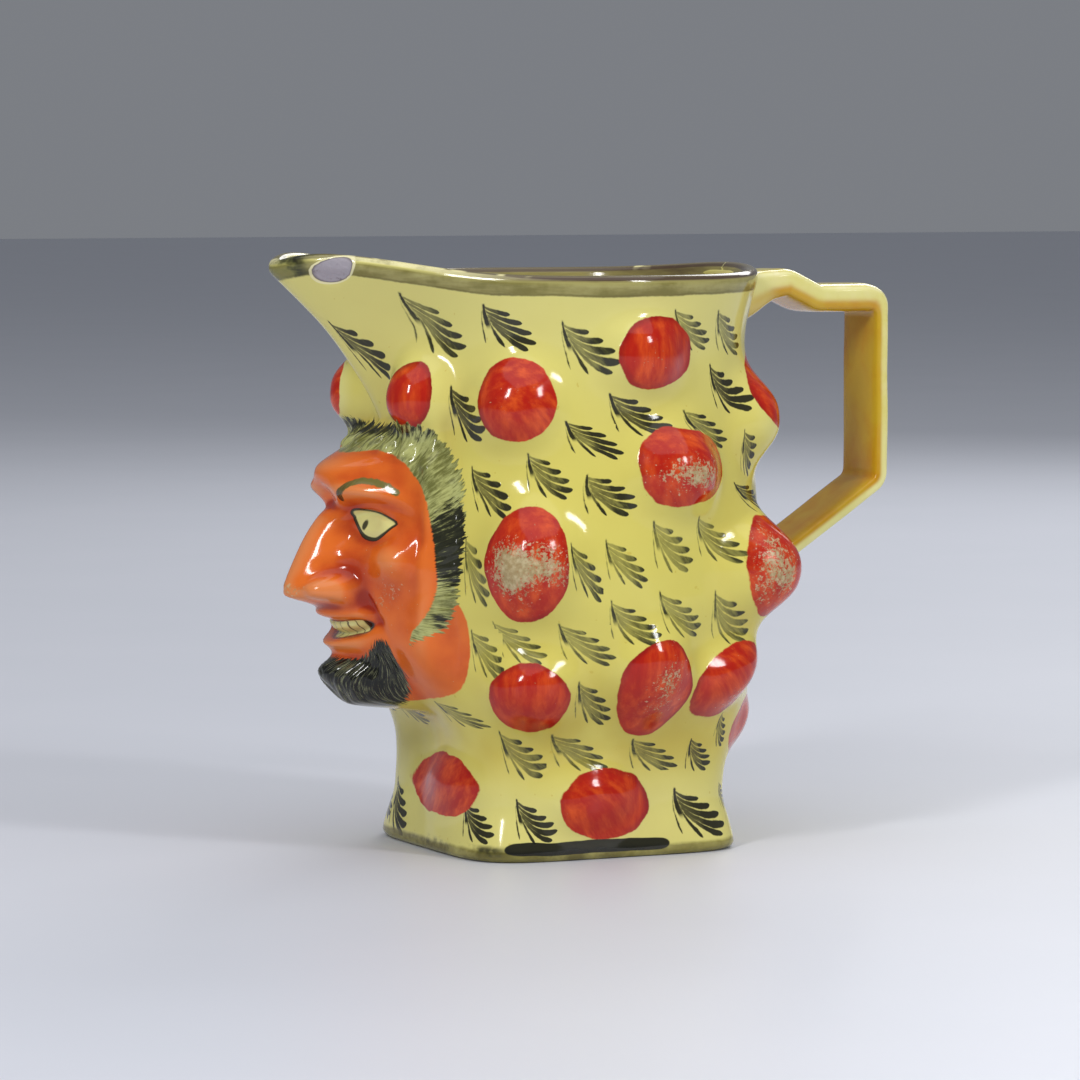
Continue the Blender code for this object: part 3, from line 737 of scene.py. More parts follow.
def build_body(skin):
    """The jug without its handle, closed: sole, outside, lip, inside and floor, ring above ring.

    The outside is a grid of angle and level. The lip is rings on half a circle over the rim. The
    inside is the plain body moved in by the wall, with fewer columns, and the floor is a rounded dish.
    """
    rows, columns = skin.angle.shape
    angles = skin.angle[0]
    inward = np.stack([np.cos(skin.angle), np.sin(skin.angle), np.zeros_like(skin.angle)], axis=-1)
    chipped = CHIP_DEPTH * rise(chip_inside(skin.angle, skin.height), 0.0, CHIP_EDGE)
    outside = skin.points + inward * chipped[..., None]

    foot = skin.points[0]
    under = []
    for bend in np.linspace(0.0, 0.5 * math.pi, FOOT_EDGE_ROWS + 1)[:-1]:
        inset = 1.0 - FOOT_EDGE_ROUND * (1.0 - math.sin(bend)) / FOOT_HALF_WIDTH
        under.append(foot * (inset, inset, 0.0) + (0.0, 0.0, FOOT_EDGE_ROUND * (1.0 - math.cos(bend))))
    sole = [foot * (share, share, 0.0) for share in (0.15, 0.45, 0.75)]

    lip = []
    for turn in np.linspace(0.0, math.pi, LIP_ROWS + 2)[1:-1]:
        depth = 0.5 * LIP_THICKNESS * (1.0 - math.cos(turn))
        level = np.full(columns, 1.0 - 0.5 * LIP_THICKNESS / BODY_HEIGHT * (1.0 - math.sin(turn)))
        points = inner_point(angles, level, np.full(columns, depth))
        points[:, 2] = BODY_HEIGHT * level + lift(angles, level)
        lip.append(points)

    few = angles[::INNER_STEP]
    lowest = (FLOOR_THICKNESS + INNER_CORNER_ROUND) / BODY_HEIGHT
    within = []
    for number, level in enumerate(np.linspace(1.0 - 0.5 * LIP_THICKNESS / BODY_HEIGHT, lowest, INNER_ROWS)):
        depth = LIP_THICKNESS + (WALL - LIP_THICKNESS) * ease(number / 6.0)
        within.append(inner_point(few, np.full(len(few), level), np.full(len(few), float(depth))))
    wall_foot = within[-1]
    for bend in np.linspace(0.0, 0.5 * math.pi, INNER_CORNER_ROWS + 1)[1:]:
        shrink = 1.0 - INNER_CORNER_ROUND * (1.0 - math.cos(bend)) / FOOT_HALF_WIDTH
        height = FLOOR_THICKNESS + INNER_CORNER_ROUND * (1.0 - math.sin(bend))
        within.append(wall_foot * (shrink, shrink, 0.0) + (0.0, 0.0, height))
    floor = within[-1]
    within += [floor * (share, share, 1.0) for share in (0.7, 0.4, 0.12)]

    fine = sole + under + list(outside) + lip
    grid = np.arange(len(fine) * columns).reshape(-1, columns)
    fewer = len(within[0])
    inner_grid = len(fine) * columns + np.arange(len(within) * fewer).reshape(-1, fewer)
    faces = ring_faces(grid[:-1], grid[1:]).tolist()
    faces += ring_faces(inner_grid[:-1], inner_grid[1:]).tolist()
    last, start = grid[-1].tolist(), inner_grid[0].tolist()
    half = INNER_STEP // 2
    for number in range(fewer):
        own = [last[(number * INNER_STEP + k) % columns] for k in range(INNER_STEP + 1)]
        near, far = start[number], start[(number + 1) % fewer]
        faces += [[own[k], own[k + 1], near] for k in range(half)]
        faces.append([own[half], far, near])
        faces += [[own[k], own[k + 1], far] for k in range(half, INNER_STEP)]
    faces.append(grid[0][::-1].tolist())
    faces.append(inner_grid[-1].tolist())
    vertices = np.concatenate(fine + within)
    thing = mesh_object("jug_body", vertices, faces)

    mesh = thing.data
    total = len(vertices)
    first = (len(sole) + len(under)) * columns
    values = {
        "patch_paint": patch_field(skin),
        "wear": wear_field(skin),
        "hollow": surroundings(skin.angle, skin.height, 0.0030) / MM,
        "outside": np.ones(skin.angle.shape),
    }
    values.update(mask_fields(skin))
    plain = ("outside", "wear", "hollow", "hair_dark")
    for name, field in values.items():
        stored = np.full(total, 0.0 if name in plain else OUTSIDE_FIELD)
        stored[first : first + rows * columns] = field.reshape(-1)
        add_values(mesh, name, stored)
    turn = np.arctan2(-vertices[:, 1], -vertices[:, 0])
    rim = BODY_HEIGHT + lift(turn, np.ones(total))
    below = rim - vertices[:, 2]
    add_values(mesh, "below_rim", below / MM)
    chip = chip_inside(turn, BODY_HEIGHT - below)
    chip[len(fine) * columns :] = OUTSIDE_FIELD
    add_values(mesh, "chip", chip)
    add_values(mesh, "turn", np.degrees(turn))

    uv, tone, seed = sprig_map(skin)
    faces_before, faces_here = first, (rows - 1) * columns
    loops = np.full((len(mesh.loops), 2), NO_SPRIG, dtype=np.float32)
    loops[faces_before * 4 : (faces_before + faces_here) * 4] = uv.reshape(-1, 2)
    layer = mesh.uv_layers.new(name="sprigs")
    layer.data.foreach_set("uv", loops.reshape(-1))
    for name, field in (("sprig_dark", tone), ("sprig_seed", seed)):
        stored = np.zeros(len(mesh.polygons))
        stored[faces_before : faces_before + faces_here] = field.reshape(-1)
        add_values(mesh, name, stored, "FACE")
    return thing


def back_wall(height):
    """Axis to the middle of the wall under the handle."""
    level = np.asarray(height / BODY_HEIGHT)
    return float(plain_radius(np.asarray(math.pi), level)) - 0.5 * WALL


def rounded_path(corners, radius, steps, count):
    """A line through the corners, each turned with an arc of the given size, as evenly spaced points."""
    points = [corners[0]]
    for before, corner, after in zip(corners, corners[1:], corners[2:]):
        back, on = before - corner, after - corner
        back, on = back / np.linalg.norm(back), on / np.linalg.norm(on)
        half = 0.5 * math.acos(float(np.clip(back @ on, -1.0, 1.0)))
        run = min(radius / math.tan(half), 0.45 * np.linalg.norm(before - corner))
        run = min(run, 0.45 * np.linalg.norm(after - corner))
        for share in np.linspace(0.0, 1.0, steps + 1):
            near = corner + back * run * (1.0 - share)
            far = corner + on * run * share
            points.append(near + (far - near) * share)
    points.append(corners[-1])
    points = np.array(points)
    travelled = np.concatenate([[0.0], np.cumsum(np.linalg.norm(np.diff(points, axis=0), axis=1))])
    even = np.linspace(0.0, travelled[-1], count)
    return np.stack([np.interp(even, travelled, points[:, k]) for k in range(2)], axis=1)


def handle_corners():
    """The bends of the strap's middle line, in X and Z, as in the solid."""
    top_root = BODY_HEIGHT - 0.5 * (HANDLE_TOP_THICKNESS + HANDLE_ROOT_SWELL)
    start, end = back_wall(top_root), back_wall(HANDLE_END)
    span = HANDLE_REACH - start
    crown = ((start + 0.22 * span, HANDLE_TOP - 0.0006), (start + 0.35 * span, HANDLE_TOP))
    shoulder = ((start + 0.56 * span, HANDLE_SHOULDER), (HANDLE_REACH, HANDLE_SHOULDER))
    foot = (end + 0.22 * (HANDLE_REACH - end), HANDLE_END + 0.0030)
    grip_end = (HANDLE_REACH, HANDLE_GRIP_END)
    return np.array([(start, top_root), *crown, *shoulder, grip_end, foot, (end, HANDLE_END)])


def build_handle():
    """The strap: a rounded rectangle carried along its bent line and swollen at both roots.

    Across the strap the section is a superellipse, so its edges are soft and its faces are nearly flat. A
    slow sum of sines makes the faces and edges uneven, as a hand-rolled strap is.
    """
    path = rounded_path(handle_corners(), HANDLE_CORNER_ROUND, 8, HANDLE_ROWS)
    steps = np.gradient(path, axis=0)
    steps = steps / np.linalg.norm(steps, axis=1, keepdims=True)
    outward = np.stack([-steps[:, 1], steps[:, 0]], axis=1)
    travelled = np.concatenate([[0.0], np.cumsum(np.linalg.norm(np.diff(path, axis=0), axis=1))])
    to_end = np.minimum(travelled, travelled[-1] - travelled)
    swell = HANDLE_ROOT_SWELL * np.exp(-((to_end / HANDLE_ROOT_LENGTH) ** 2))
    thinned = rise(path[:, 1], HANDLE_SHOULDER, HANDLE_SHOULDER - HANDLE_CORNER_ROUND)
    thick = HANDLE_TOP_THICKNESS + (HANDLE_GRIP_THICKNESS - HANDLE_TOP_THICKNESS) * thinned + swell
    wide = HANDLE_WIDTH + HANDLE_ROOT_SPREAD * swell
    bend = np.linspace(0.0, 2.0 * math.pi, HANDLE_COLUMNS, endpoint=False) + 1e-4  # off the exact corners
    power = 2.0 / HANDLE_SQUARENESS
    across = np.sign(np.cos(bend)) * np.abs(np.cos(bend)) ** power
    out = np.sign(np.sin(bend)) * np.abs(np.sin(bend)) ** power
    side_place, along = np.meshgrid(across * HANDLE_WIDTH, travelled)
    settled = rise(to_end, 0.002, 0.008)[:, None]
    uneven = 0.00020 * swirl(along, side_place, 21, 0.026) * settled
    uneven_edge = 0.00022 * swirl(along, side_place, 22, 0.017) * settled
    offset = 0.5 * out[None, :] * thick[:, None] + uneven * np.abs(out)[None, :]
    sideways = 0.5 * across[None, :] * wide[:, None] + uneven_edge * across[None, :]
    placed_x, placed_z = (path[:, None, k] + outward[:, None, k] * offset for k in range(2))
    points = np.stack([placed_x, sideways, placed_z], axis=-1)
    rows, columns = points.shape[:2]
    grid = np.arange(rows * columns).reshape(rows, columns)
    faces = ring_faces(grid[:-1], grid[1:])[:, ::-1].tolist()
    faces.append(grid[0].tolist())
    faces.append(grid[-1][::-1].tolist())
    thing = mesh_object("jug_handle", points.reshape(-1, 3), faces)
    turning = np.linalg.norm(np.gradient(steps, axis=0), axis=1)
    shape = np.ones((rows, columns))
    fields = {
        "strap_across": across[None, :] * shape,
        "strap_out": out[None, :] * shape,
        "strap_along": travelled[:, None] / MM * shape,
        "strap_bend": turning[:, None] / turning.max() * shape,
    }
    for name, field in fields.items():
        add_values(thing.data, name, field.reshape(-1))
    return thing


def colour(red, green, blue):
    """Linear light from a colour as seen, each part from 0 to 255."""
    parts = [part / 255.0 for part in (red, green, blue)]
    return tuple(p / 12.92 if p <= 0.04045 else ((p + 0.055) / 1.055) ** 2.4 for p in parts) + (1.0,)


def operation(name):
    """A method that adds one Math node."""
    return lambda value, *others: value.math(name, *others)


class Value:
    """A shader socket with arithmetic: each operator adds one Math node."""

    def __init__(self, graph, socket):
        self.graph, self.socket = graph, socket

    def math(self, name, *others):
        """A Math node on this value and others."""
        return self.graph.add("ShaderNodeMath", {"operation": name}, dict(enumerate((self, *others))))

    __add__ = __radd__ = operation("ADD")
    __mul__ = __rmul__ = operation("MULTIPLY")
    __sub__, __truediv__, __pow__ = operation("SUBTRACT"), operation("DIVIDE"), operation("POWER")
    least, most, size = operation("MINIMUM"), operation("MAXIMUM"), operation("ABSOLUTE")

    def __rsub__(self, other):
        return self * -1.0 + other

    def over(self, start, end):
        """The eased share of the way from start to end, from 0 to 1."""
        settings = {"interpolation_type": "SMOOTHSTEP", "clamp": True}
        return self.graph.add("ShaderNodeMapRange", settings, {0: self, 1: start, 2: end, 3: 0.0, 4: 1.0})

    def under(self, start, end):
        """The share still to go: 1 below start, 0 past end."""
        return 1.0 - self.over(start, end)


class Graph:
    """A material's nodes and the colour painted so far. Clouds are its broad, middle and fine noise."""

    def __init__(self, name, ground, *scales):
        self.material = bpy.data.materials.new(name)
        self.material.use_nodes = True
        self.tree = self.material.node_tree
        self.shader = self.tree.nodes["Principled BSDF"]
        self.place = self.add("ShaderNodeTexCoord", {}, {}, "Object", raw=True)
        self.tone = ground
        self.clouds = [self.noise(*scale) for scale in scales]

    def add(self, kind, settings, inputs, output=0, raw=False):
        """A node of a type, with its settings first and then the values or links of its sockets."""
        node = self.tree.nodes.new(kind)
        for name, value in settings.items():
            setattr(node, name, value)
        for name, value in inputs.items():
            socket = value.socket if isinstance(value, Value) else value
            if isinstance(socket, bpy.types.NodeSocket):
                self.tree.links.new(socket, node.inputs[name])
            else:
                node.inputs[name].default_value = socket
        return node.outputs[output] if raw else Value(self, node.outputs[output])

    def read(self, name):
        """A number stored on the surface."""
        return self.add("ShaderNodeAttribute", {"attribute_name": name}, {}, "Fac")

    def parts(self, vector):
        """The three parts of a vector."""
        split = self.add("ShaderNodeSeparateXYZ", {}, {0: vector}, 0, raw=True).node
        return [Value(self, socket) for socket in split.outputs]

    def vector(self, x, y, z=0.0):
        return self.add("ShaderNodeCombineXYZ", {}, {0: x, 1: y, 2: z}, 0, raw=True)

    def noise(self, scale, detail=3.0, rough=0.55, stretch=(1.0, 1.0, 1.0), vector=None):
        """Cloudy noise around zero, from about -0.5 to 0.5. Scale is in lumps for each metre."""
        source = self.place if vector is None else vector
        settings = {"operation": "MULTIPLY"}
        stretched = self.add("ShaderNodeVectorMath", settings, {0: source, 1: stretch}, 0, raw=True)
        values = {"Vector": stretched, "Scale": scale, "Detail": detail, "Roughness": rough}
        return self.add("ShaderNodeTexNoise", {"noise_dimensions": "3D"}, values, "Fac") - 0.5

    def mix(self, share, first, second):
        """A colour part of the way from the first to the second."""
        settings = {"data_type": "RGBA", "blend_type": "MIX", "clamp_factor": True}
        return self.add("ShaderNodeMix", settings, {0: share, 6: first, 7: second}, 2, raw=True)

    def paint(self, share, coat):
        """Lay a coat over the colour painted so far."""
        self.tone = self.mix(share, self.tone, coat)

    def glaze(self, roughness, relief, strength):
        """Feed the shader: the colour, a roughness and a fine bump under a wet glaze."""
        self.tree.links.new(self.tone, self.shader.inputs["Base Color"])
        self.tree.links.new(roughness.socket, self.shader.inputs["Roughness"])
        values = {"Strength": strength, "Distance": BUMP_DEPTH, "Height": relief}
        bumped = self.add("ShaderNodeBump", {}, values, 0, raw=True)
        self.tree.links.new(bumped, self.shader.inputs["Normal"])
        self.shader.inputs["IOR"].default_value = GLAZE_IOR
        self.shader.inputs["Specular IOR Level"].default_value = GLAZE_SHINE
        return self.material


BUMP_DEPTH = 0.0005
GLAZE_IOR = 1.50
GLAZE_SHINE = 0.40

YELLOW = colour(217, 205, 103)
LEMON = colour(226, 221, 148)
MUSTARD = colour(196, 168, 58)
SHADED_GOLD = colour(198, 160, 34)
SHADED_AMBER = colour(190, 127, 6)
CREAM = colour(236, 228, 180)
RED = colour(180, 30, 10)
SCARLET = colour(222, 84, 26)
CRIMSON_AND_SHADE = colour(134, 14, 16)
ORANGE = colour(226, 110, 36)
DARK_ORANGE_AND_SHADE = colour(190, 64, 20)
PEACH_AND_CREST_LIGHT = colour(226, 140, 82)
BLACK = colour(22, 23, 19)
OLIVE = colour(106, 107, 54)
PALE_OLIVE = colour(182, 184, 116)
SPRIG_OLIVE = colour(92, 94, 48)
BAND_OLIVE = colour(140, 132, 62)
DARK_BAND = colour(96, 88, 38)
PALE_BAND = colour(170, 162, 106)
BROWN_AND_SHADE = colour(72, 54, 44)
BARE = colour(158, 146, 100)
PALE_BARE = colour(200, 192, 150)
CHIP_GREY = colour(164, 157, 164)
CHIP_DARK = colour(96, 86, 86)
BONE = colour(222, 214, 138)
STRAND_GREY = colour(132, 134, 100)
PAPER = colour(212, 215, 224)
PALE_PAPER = colour(217, 219, 228)

# A sprig's strokes in its own box, right and down: where each starts and ends, how steeply it starts, half
# its thickness and how thin it starts. Barbs run across from the stem, and trails run down.
BARBS = (
    (0.06, 0.07, 0.52, 0.23, 0.70, 0.084, 0.50),
    (0.09, 0.16, 0.75, 0.41, 0.85, 0.096, 0.50),
    (0.12, 0.25, 0.93, 0.60, 1.00, 0.102, 0.50),
    (0.16, 0.34, 1.02, 0.80, 1.20, 0.106, 0.50),
    (0.21, 0.44, 0.90, 0.99, 1.35, 0.096, 0.50),
)
TRAILS = (
    (0.28, 0.13, 1.00, 0.50, 0.30, 0.066, 0.35),
    (0.15, 0.03, 0.90, 0.16, 0.02, 0.040, 0.35),
)
STROKE_EDGE = 0.030  # over which ink fades out at a stroke's side


def stroke(first, second, brush, start, cross_start, end, cross_end, steep, half, thin):
    """The ink of one stroke, which advances along the first coordinate while the second follows a parabola.
    Its thickness falls to nothing at the end as the root of one less the eighth power of the way."""
    length = end - start
    share = (first - start) / length
    bend = cross_end - cross_start - steep * length
    curve = share * (steep * length) + share * share * bend + cross_start
    way = share.most(0.0).least(1.0)
    fourth = way * way * way * way
    round_end = (1.0 - fourth * fourth).most(0.0) ** 0.5
    thickness = (way * (1.0 - thin) + thin) * round_end * half
    ink = (thickness + brush * round_end - (second - curve).size()).over(0.0, STROKE_EDGE)
    return ink * share.over(-0.05, 0.05) * (way * way * 0.34 + 0.66)


def sprig_strokes(graph):
    """How much ink a sprig leaves, from 0 to 1: a bowed stem with barbs and trails that run together near it
    and end round and wet. Chance bends each sprig's box with its own seed. Also the marks of the bristles."""
    uv = graph.add("ShaderNodeUVMap", {"uv_map": "sprigs"}, {}, 0, raw=True)
    right, down = graph.parts(uv)[:2]
    seed = graph.read("sprig_seed")
    skewed = (seed * 7.3).math("FRACT") - 0.5
    bowed = (seed * 23.1).math("FRACT") - 0.5
    right = right + graph.noise(110.0, 2.0) * 0.10
    down = down + graph.noise(130.0, 2.0) * 0.10
    right = right + (seed - 0.5) * (down - 0.5) * 0.30
    down = down + skewed * (right - 0.5) * 0.24 + bowed * (right - 0.5) * (right - 0.5) * 0.5
    brush = graph.noise(700.0, 3.0) * 0.040
    ink = stroke(right, down, brush, *BARBS[0])
    for barb in BARBS[1:]:
        ink = ink.most(stroke(right, down, brush, *barb))
    for trail in TRAILS:
        ink = ink.most(stroke(down, right, brush, *trail))
    stem_curve = down * down * 0.30 + down * 0.06 + 0.055
    stem = (0.034 + down * 0.05 + brush - (right - stem_curve).size()).over(0.0, STROKE_EDGE)
    stem = stem * down.over(-0.03, 0.03) * down.under(0.45, 0.62)
    bristles = graph.vector((right - down) * 7.0, (right + down) * 1.6, seed * 40.0)
    return ink.most(stem * 0.9), graph.noise(1.0, 4.0, 0.6, vector=bristles)


def glaze_ground(graph):
    """The yellow: darker where glaze pools in hollows, paler on crests, neck and foot, and a darker band of
    painted shade at the waist under the swell of the belly.
    """
    broad, middle = graph.clouds[:2]
    hollow, height = graph.read("hollow"), graph.parts(graph.place)[2]
    graph.paint((hollow * 0.8 + broad * 0.9 + middle * 0.25).over(-0.10, 1.1) * 0.70, MUSTARD)
    graph.paint((hollow * -1.0 + broad * -0.8 + middle * 0.3).over(0.10, 1.1) * 0.75, LEMON)
    graph.paint((height + broad * 0.03).over(0.085, 0.125) * 0.45, LEMON)
    graph.paint(height.under(0.010, 0.024) * 0.45, LEMON)
    # A patchy darker mustard band round the waist, under the swell of the belly: painted shade
    waist = (height - 0.030).size().under(0.004, 0.014) * (broad * 2.5 + 0.6).over(0.1, 1.0)
    graph.paint(waist * 0.45, MUSTARD)
    graph.paint(graph.noise(620.0, 1.0).over(0.250, 0.275) * 0.4, MUSTARD)


def paint_sprigs(graph):
    """The ink, black where a sprig is dark or a stroke ends wet. Returns the strokes."""
    dark = graph.read("sprig_dark")
    strokes, bristles = sprig_strokes(graph)
    strokes = strokes * graph.read("outside")
    wet = (strokes - 0.80) * 1.6
    ink = graph.mix((dark * 1.7 - 0.42 + bristles * 2.2 + wet).over(0.0, 1.0), SPRIG_OLIVE, BLACK)
    strength = (dark * 0.45 + 0.62 + bristles * 0.9 + wet * 0.3).most(0.30).least(0.97)
    graph.paint((strokes * (strength + dark * 0.35)).least(0.97), ink)
    return strokes


def paint_patches(graph):
    """Red over the knobs, brushed aslant or upright, crimson at the edge, and rubbed bare in flecks. Returns
    where the patches are, how rubbed the paint is, and the bare colour."""
    broad, middle, fine = graph.clouds
    x, y, z = graph.parts(graph.place)
    patch = graph.read("patch_paint") + graph.noise(85.0, 2.0) * 2.8 + middle * 0.8 + fine * 0.35
    skewed = graph.vector(x + z * 0.7, y + z * 0.7, z * 0.30)
    brushed = graph.noise(300.0, 4.0, 0.6, vector=skewed)
    upright = graph.noise(340.0, 4.0, 0.6, (1.0, 1.0, 0.18))
    brushed = brushed + (upright - brushed) * (broad * 3.0 + 0.5).over(0.2, 0.8)
    red = graph.mix((brushed * 2.6 + 0.30).over(0.0, 1.0), RED, SCARLET)
    edge = patch.under(0.2, 1.8) * (broad * 3.0 + 0.5).over(0.1, 0.9)
    red = graph.mix(edge * 0.8 + (brushed * -2.4).over(0.2, 0.9) * 0.55, red, CRIMSON_AND_SHADE)
    wear = graph.read("wear")
    rubbed = (wear * 0.62 + graph.noise(1500.0, 4.0, 0.7) * 1.7 + middle * 0.9 - 0.36).over(0.0, 0.30)
    loose = (wear * 0.25 + graph.noise(900.0, 2.0) - 0.26).over(0.0, 0.05)
    rubbed = rubbed.most(loose * 0.7)
    bare = graph.mix((fine * 1.8 + 0.4).over(0.1, 0.9), BARE, PALE_BARE)
    on_patch = patch.over(0.0, 0.3)
    graph.paint(on_patch, graph.mix(rubbed * 0.9, red, bare))
    return on_patch, rubbed, bare


def paint_flesh(graph, rubbed, bare):
    """Orange flesh that runs on under the hair: darker orange and crimson painted shade in its hollows and
    peach painted light on its crests.
    """
    broad, middle, fine = graph.clouds
    hollow = graph.read("hollow")
    under_hair = (graph.read("face_paint") + 2.5).least(graph.read("hair_paint"))
    skin = graph.read("skin_paint").most(under_hair) + middle * 1.3 + fine * 0.5
    # Darker orange in broad patches of chance and, as painted shade, in the hollows
    flesh = graph.mix((broad * 1.4 + middle * 0.9 + hollow * 0.45 + 0.22).over(0.0, 1.0), ORANGE, DARK_ORANGE_AND_SHADE)
    # Peach on the crests: painted light
    flesh = graph.mix((hollow * -0.9 + middle * 0.5).over(0.30, 1.3) * 0.75, flesh, PEACH_AND_CREST_LIGHT)
    # Crimson deepest in the hollows: painted shade
    flesh = graph.mix(hollow.over(0.45, 1.4) * 0.55, flesh, CRIMSON_AND_SHADE)
    graph.paint(skin.over(0.0, 0.6), graph.mix(rubbed * 0.7, flesh, bare))


def paint_hair(graph):
    """Hair, beard and brows, in strands that are noise drawn out along the combing."""
    middle = graph.clouds[1]
    hair_paint = graph.read("hair_paint")
    combed = graph.vector(graph.read("hair_round"), graph.read("hair_out") * 0.16)
    spikes = graph.noise(1.3, 2.0, 0.6, vector=combed)
    strands = graph.noise(2.0, 4.0, 0.65, vector=combed)
    outer = hair_paint + spikes * 9.0 + strands * 2.0 + 0.6
    hair = outer.least(graph.read("face_paint") * -1.0 + strands * 1.6)
    dark = graph.read("hair_dark") * 1.35
    ink = (strands * 3.0 + dark + hair_paint.under(0.5, 4.0) * 0.35 + middle - 0.72).over(-0.20, 0.40)
    coat = graph.mix((strands * -2.4 + middle * 1.5).over(-0.5, 0.4), OLIVE, PALE_OLIVE)
    graph.paint(hair.over(0.0, 0.6) * graph.read("outside"), graph.mix(ink * 0.95, coat, BLACK))

    combed = graph.vector(graph.read("beard_round"), graph.read("beard_out") * 0.12)
    whiskers = graph.noise(2.6, 4.0, 0.65, vector=combed)
    beard = graph.read("beard_paint") + graph.noise(1.8, 2.0, 0.6, vector=combed) * 4.5 + 0.3
    pale = (whiskers * 3.6 + 0.12 + middle * 1.2).over(0.0, 0.75) * 0.85
    graph.paint(beard.over(0.0, 0.5), graph.mix(pale, BLACK, STRAND_GREY))

    brow = graph.read("brow_paint") + strands * 1.2
    shade = (graph.read("mask_across") * -0.16 + 2.2 + strands * 2.5).over(-0.4, 1.2)
    graph.paint(brow.over(0.0, 0.4) * 0.95, graph.mix(shade, OLIVE, BLACK))


def paint_eyes_and_teeth(graph):
    """Bone eyes in a line that is heaviest above, black pupils, and bone teeth with brown gaps."""
    middle, fine = graph.clouds[1:]
    across, up, eye = graph.read("mask_across"), graph.read("mask_up"), graph.read("eye_paint")
    heavy = ((across * 0.35 + up - 69.5) * 0.4).under(-0.6, 1.0)
    rim_line = eye.over(-0.35, 0.0) * (eye - heavy * 0.5).under(0.45, 0.95)
    graph.paint(eye.over(0.0, 0.3), graph.mix((middle * 1.4 + 0.3).over(0.2, 0.9) * 0.5, BONE, PALE_OLIVE))
    graph.paint(rim_line * 0.95, BLACK)
    graph.paint(graph.read("pupil_paint").over(0.0, 0.4) * 0.92, BLACK)
    teeth = graph.read("teeth_paint") + fine * 0.3
    wave = (across * (math.pi / TOOTH_WIDTH)).math("COSINE").size()
    gap = wave.over(0.95, 0.998) * (graph.noise(200.0, 1.0) * 3.0 + 0.6).over(0.2, 0.9)
    tooth = graph.mix(across.over(12.6, 14.2), graph.mix(gap * 0.9, BONE, BROWN_AND_SHADE), BLACK)
    graph.paint((teeth + 0.5).over(0.0, 0.4) * 0.55, BROWN_AND_SHADE)
    graph.paint(teeth.over(0.0, 0.35), tooth)


def paint_rim(graph):
    """The olive band between two dark lines, the brown line on the lip, broken into dashes and paler edge on,
    the brown inside it, which is partly a painted brown line and partly painted shade inside the mouth, and
    the grime on the spout. Millimetres are measured down from the rim. Returns two kinds of smear."""
    fine = graph.clouds[2]
    below, outside, turn = graph.read("below_rim"), graph.read("outside"), graph.read("turn").size()
    wavy = below + graph.noise(60.0, 2.0, 0.5, (1.0, 1.0, 0.3)) * 1.1 + fine * 0.3
    band = wavy.over(0.75, 1.15) * wavy.under(4.3, 4.7) * outside
    smear = graph.noise(210.0, 5.0, 0.62, (0.16, 0.16, 1.0))
    blot = graph.noise(95.0, 4.0, 0.65)
    olive = graph.mix((smear * 3.0 + blot * 2.0 + 0.55).over(0.0, 1.0), DARK_BAND, PALE_BAND)
    graph.paint(band * 0.93, graph.mix(0.30, olive, BAND_OLIVE))
    lines = (wavy - 4.3).size().under(0.05, 0.45) + (wavy - 1.1).size().under(0.05, 0.35) * 0.7
    graph.paint(lines * outside * (blot * 2.0 + 0.55).over(0.1, 0.9) * 0.7, DARK_BAND)
    dashes = graph.noise(75.0, 3.0, 0.6, (1.0, 1.0, 0.3))
    lip = below.under(0.8, 1.3)
    graph.paint(lip * 0.65, CREAM)
    side_on = turn.over(40.0, 75.0) * 0.16
    line = (below - side_on * 5.0).under(0.10, 0.45) * (dashes + side_on + 0.02).over(0.0, 0.06)
    graph.paint(line * 0.85, BROWN_AND_SHADE)
    # Brown inside the rim away from the spout: partly a painted brown line and partly painted shade of the
    # dark inside
    within = (1.0 - outside) * below.over(0.2, 0.5) * (below + blot).under(3.2, 4.4)
    graph.paint(within * turn.over(20.0, 60.0) * (smear + 0.85) * 0.9, BROWN_AND_SHADE)
    grimy = lip * turn.under(18.0, 40.0) * (smear * 3.0 + blot * 3.0 + 0.40).over(0.1, 0.9)
    graph.paint(grimy * 0.75, DARK_BAND)
    scuffed = (turn + blot * 10.0).under(6.0, 10.0) * wavy.under(4.2, 4.9)
    graph.paint(scuffed * (smear * 3.0 + blot * 2.0 + 0.60).over(0.1, 0.9) * 0.92, OLIVE)
    graph.paint(scuffed * (blot * 3.6 + smear * 3.0 + 0.30).over(0.1, 0.9) * 0.92, BLACK)
    return smear, blot


def paint_foot(graph, smear, blot):
    """The olive band and black corner at the foot, and the long black stroke, a superellipse on each side."""
    middle = graph.clouds[1]
    outside, signed = graph.read("outside"), graph.read("turn")
    up_mm = graph.parts(graph.place)[2] * 1000.0
    foot = up_mm + smear * 1.4 + middle * 1.2
    grime = graph.mix((smear * 3.0 + blot * 2.0 + 0.35).over(0.0, 1.0), DARK_BAND, BAND_OLIVE)
    graph.paint(foot.under(2.2, 3.2) * (blot * 2.0 + 0.85).most(0.4).least(0.95), grime)
    corner = (signed - 20.0).size().under(24.0, 34.0) * foot.under(3.0, 4.2) * outside
    graph.paint(corner * (blot * 3.0 + smear * 2.0 + 0.25).over(0.1, 0.7) * 0.9, BLACK)
    wander = graph.noise(70.0, 3.0, 0.5, (1.0, 1.0, 0.2))
    level = (up_mm - 2.9 + wander * 1.6) / 1.45
    reach = ((signed.size() - 79.0) / 30.5).size() ** 14.0
    graph.paint((level * level + reach + wander * 0.4).under(0.85, 1.10) * outside * 0.98, BLACK)


def paint_chip(graph):
    """Bare grey clay with a dark edge and a cream rim where glaze broke away. Returns where it is."""
    middle, fine = graph.clouds[1:]
    chip = graph.read("chip") + middle * 0.35
    graph.paint((chip + 0.42).over(0.0, 0.16) * 0.85, CREAM)
    broken = graph.mix((fine * 2.6 + middle * 2.0).over(-0.05, 0.8), CHIP_GREY, CHIP_DARK)
    graph.paint(chip.over(0.0, 0.14), graph.mix(chip.under(0.0, 0.5), broken, CHIP_DARK))
    return chip.over(0.0, 0.2)


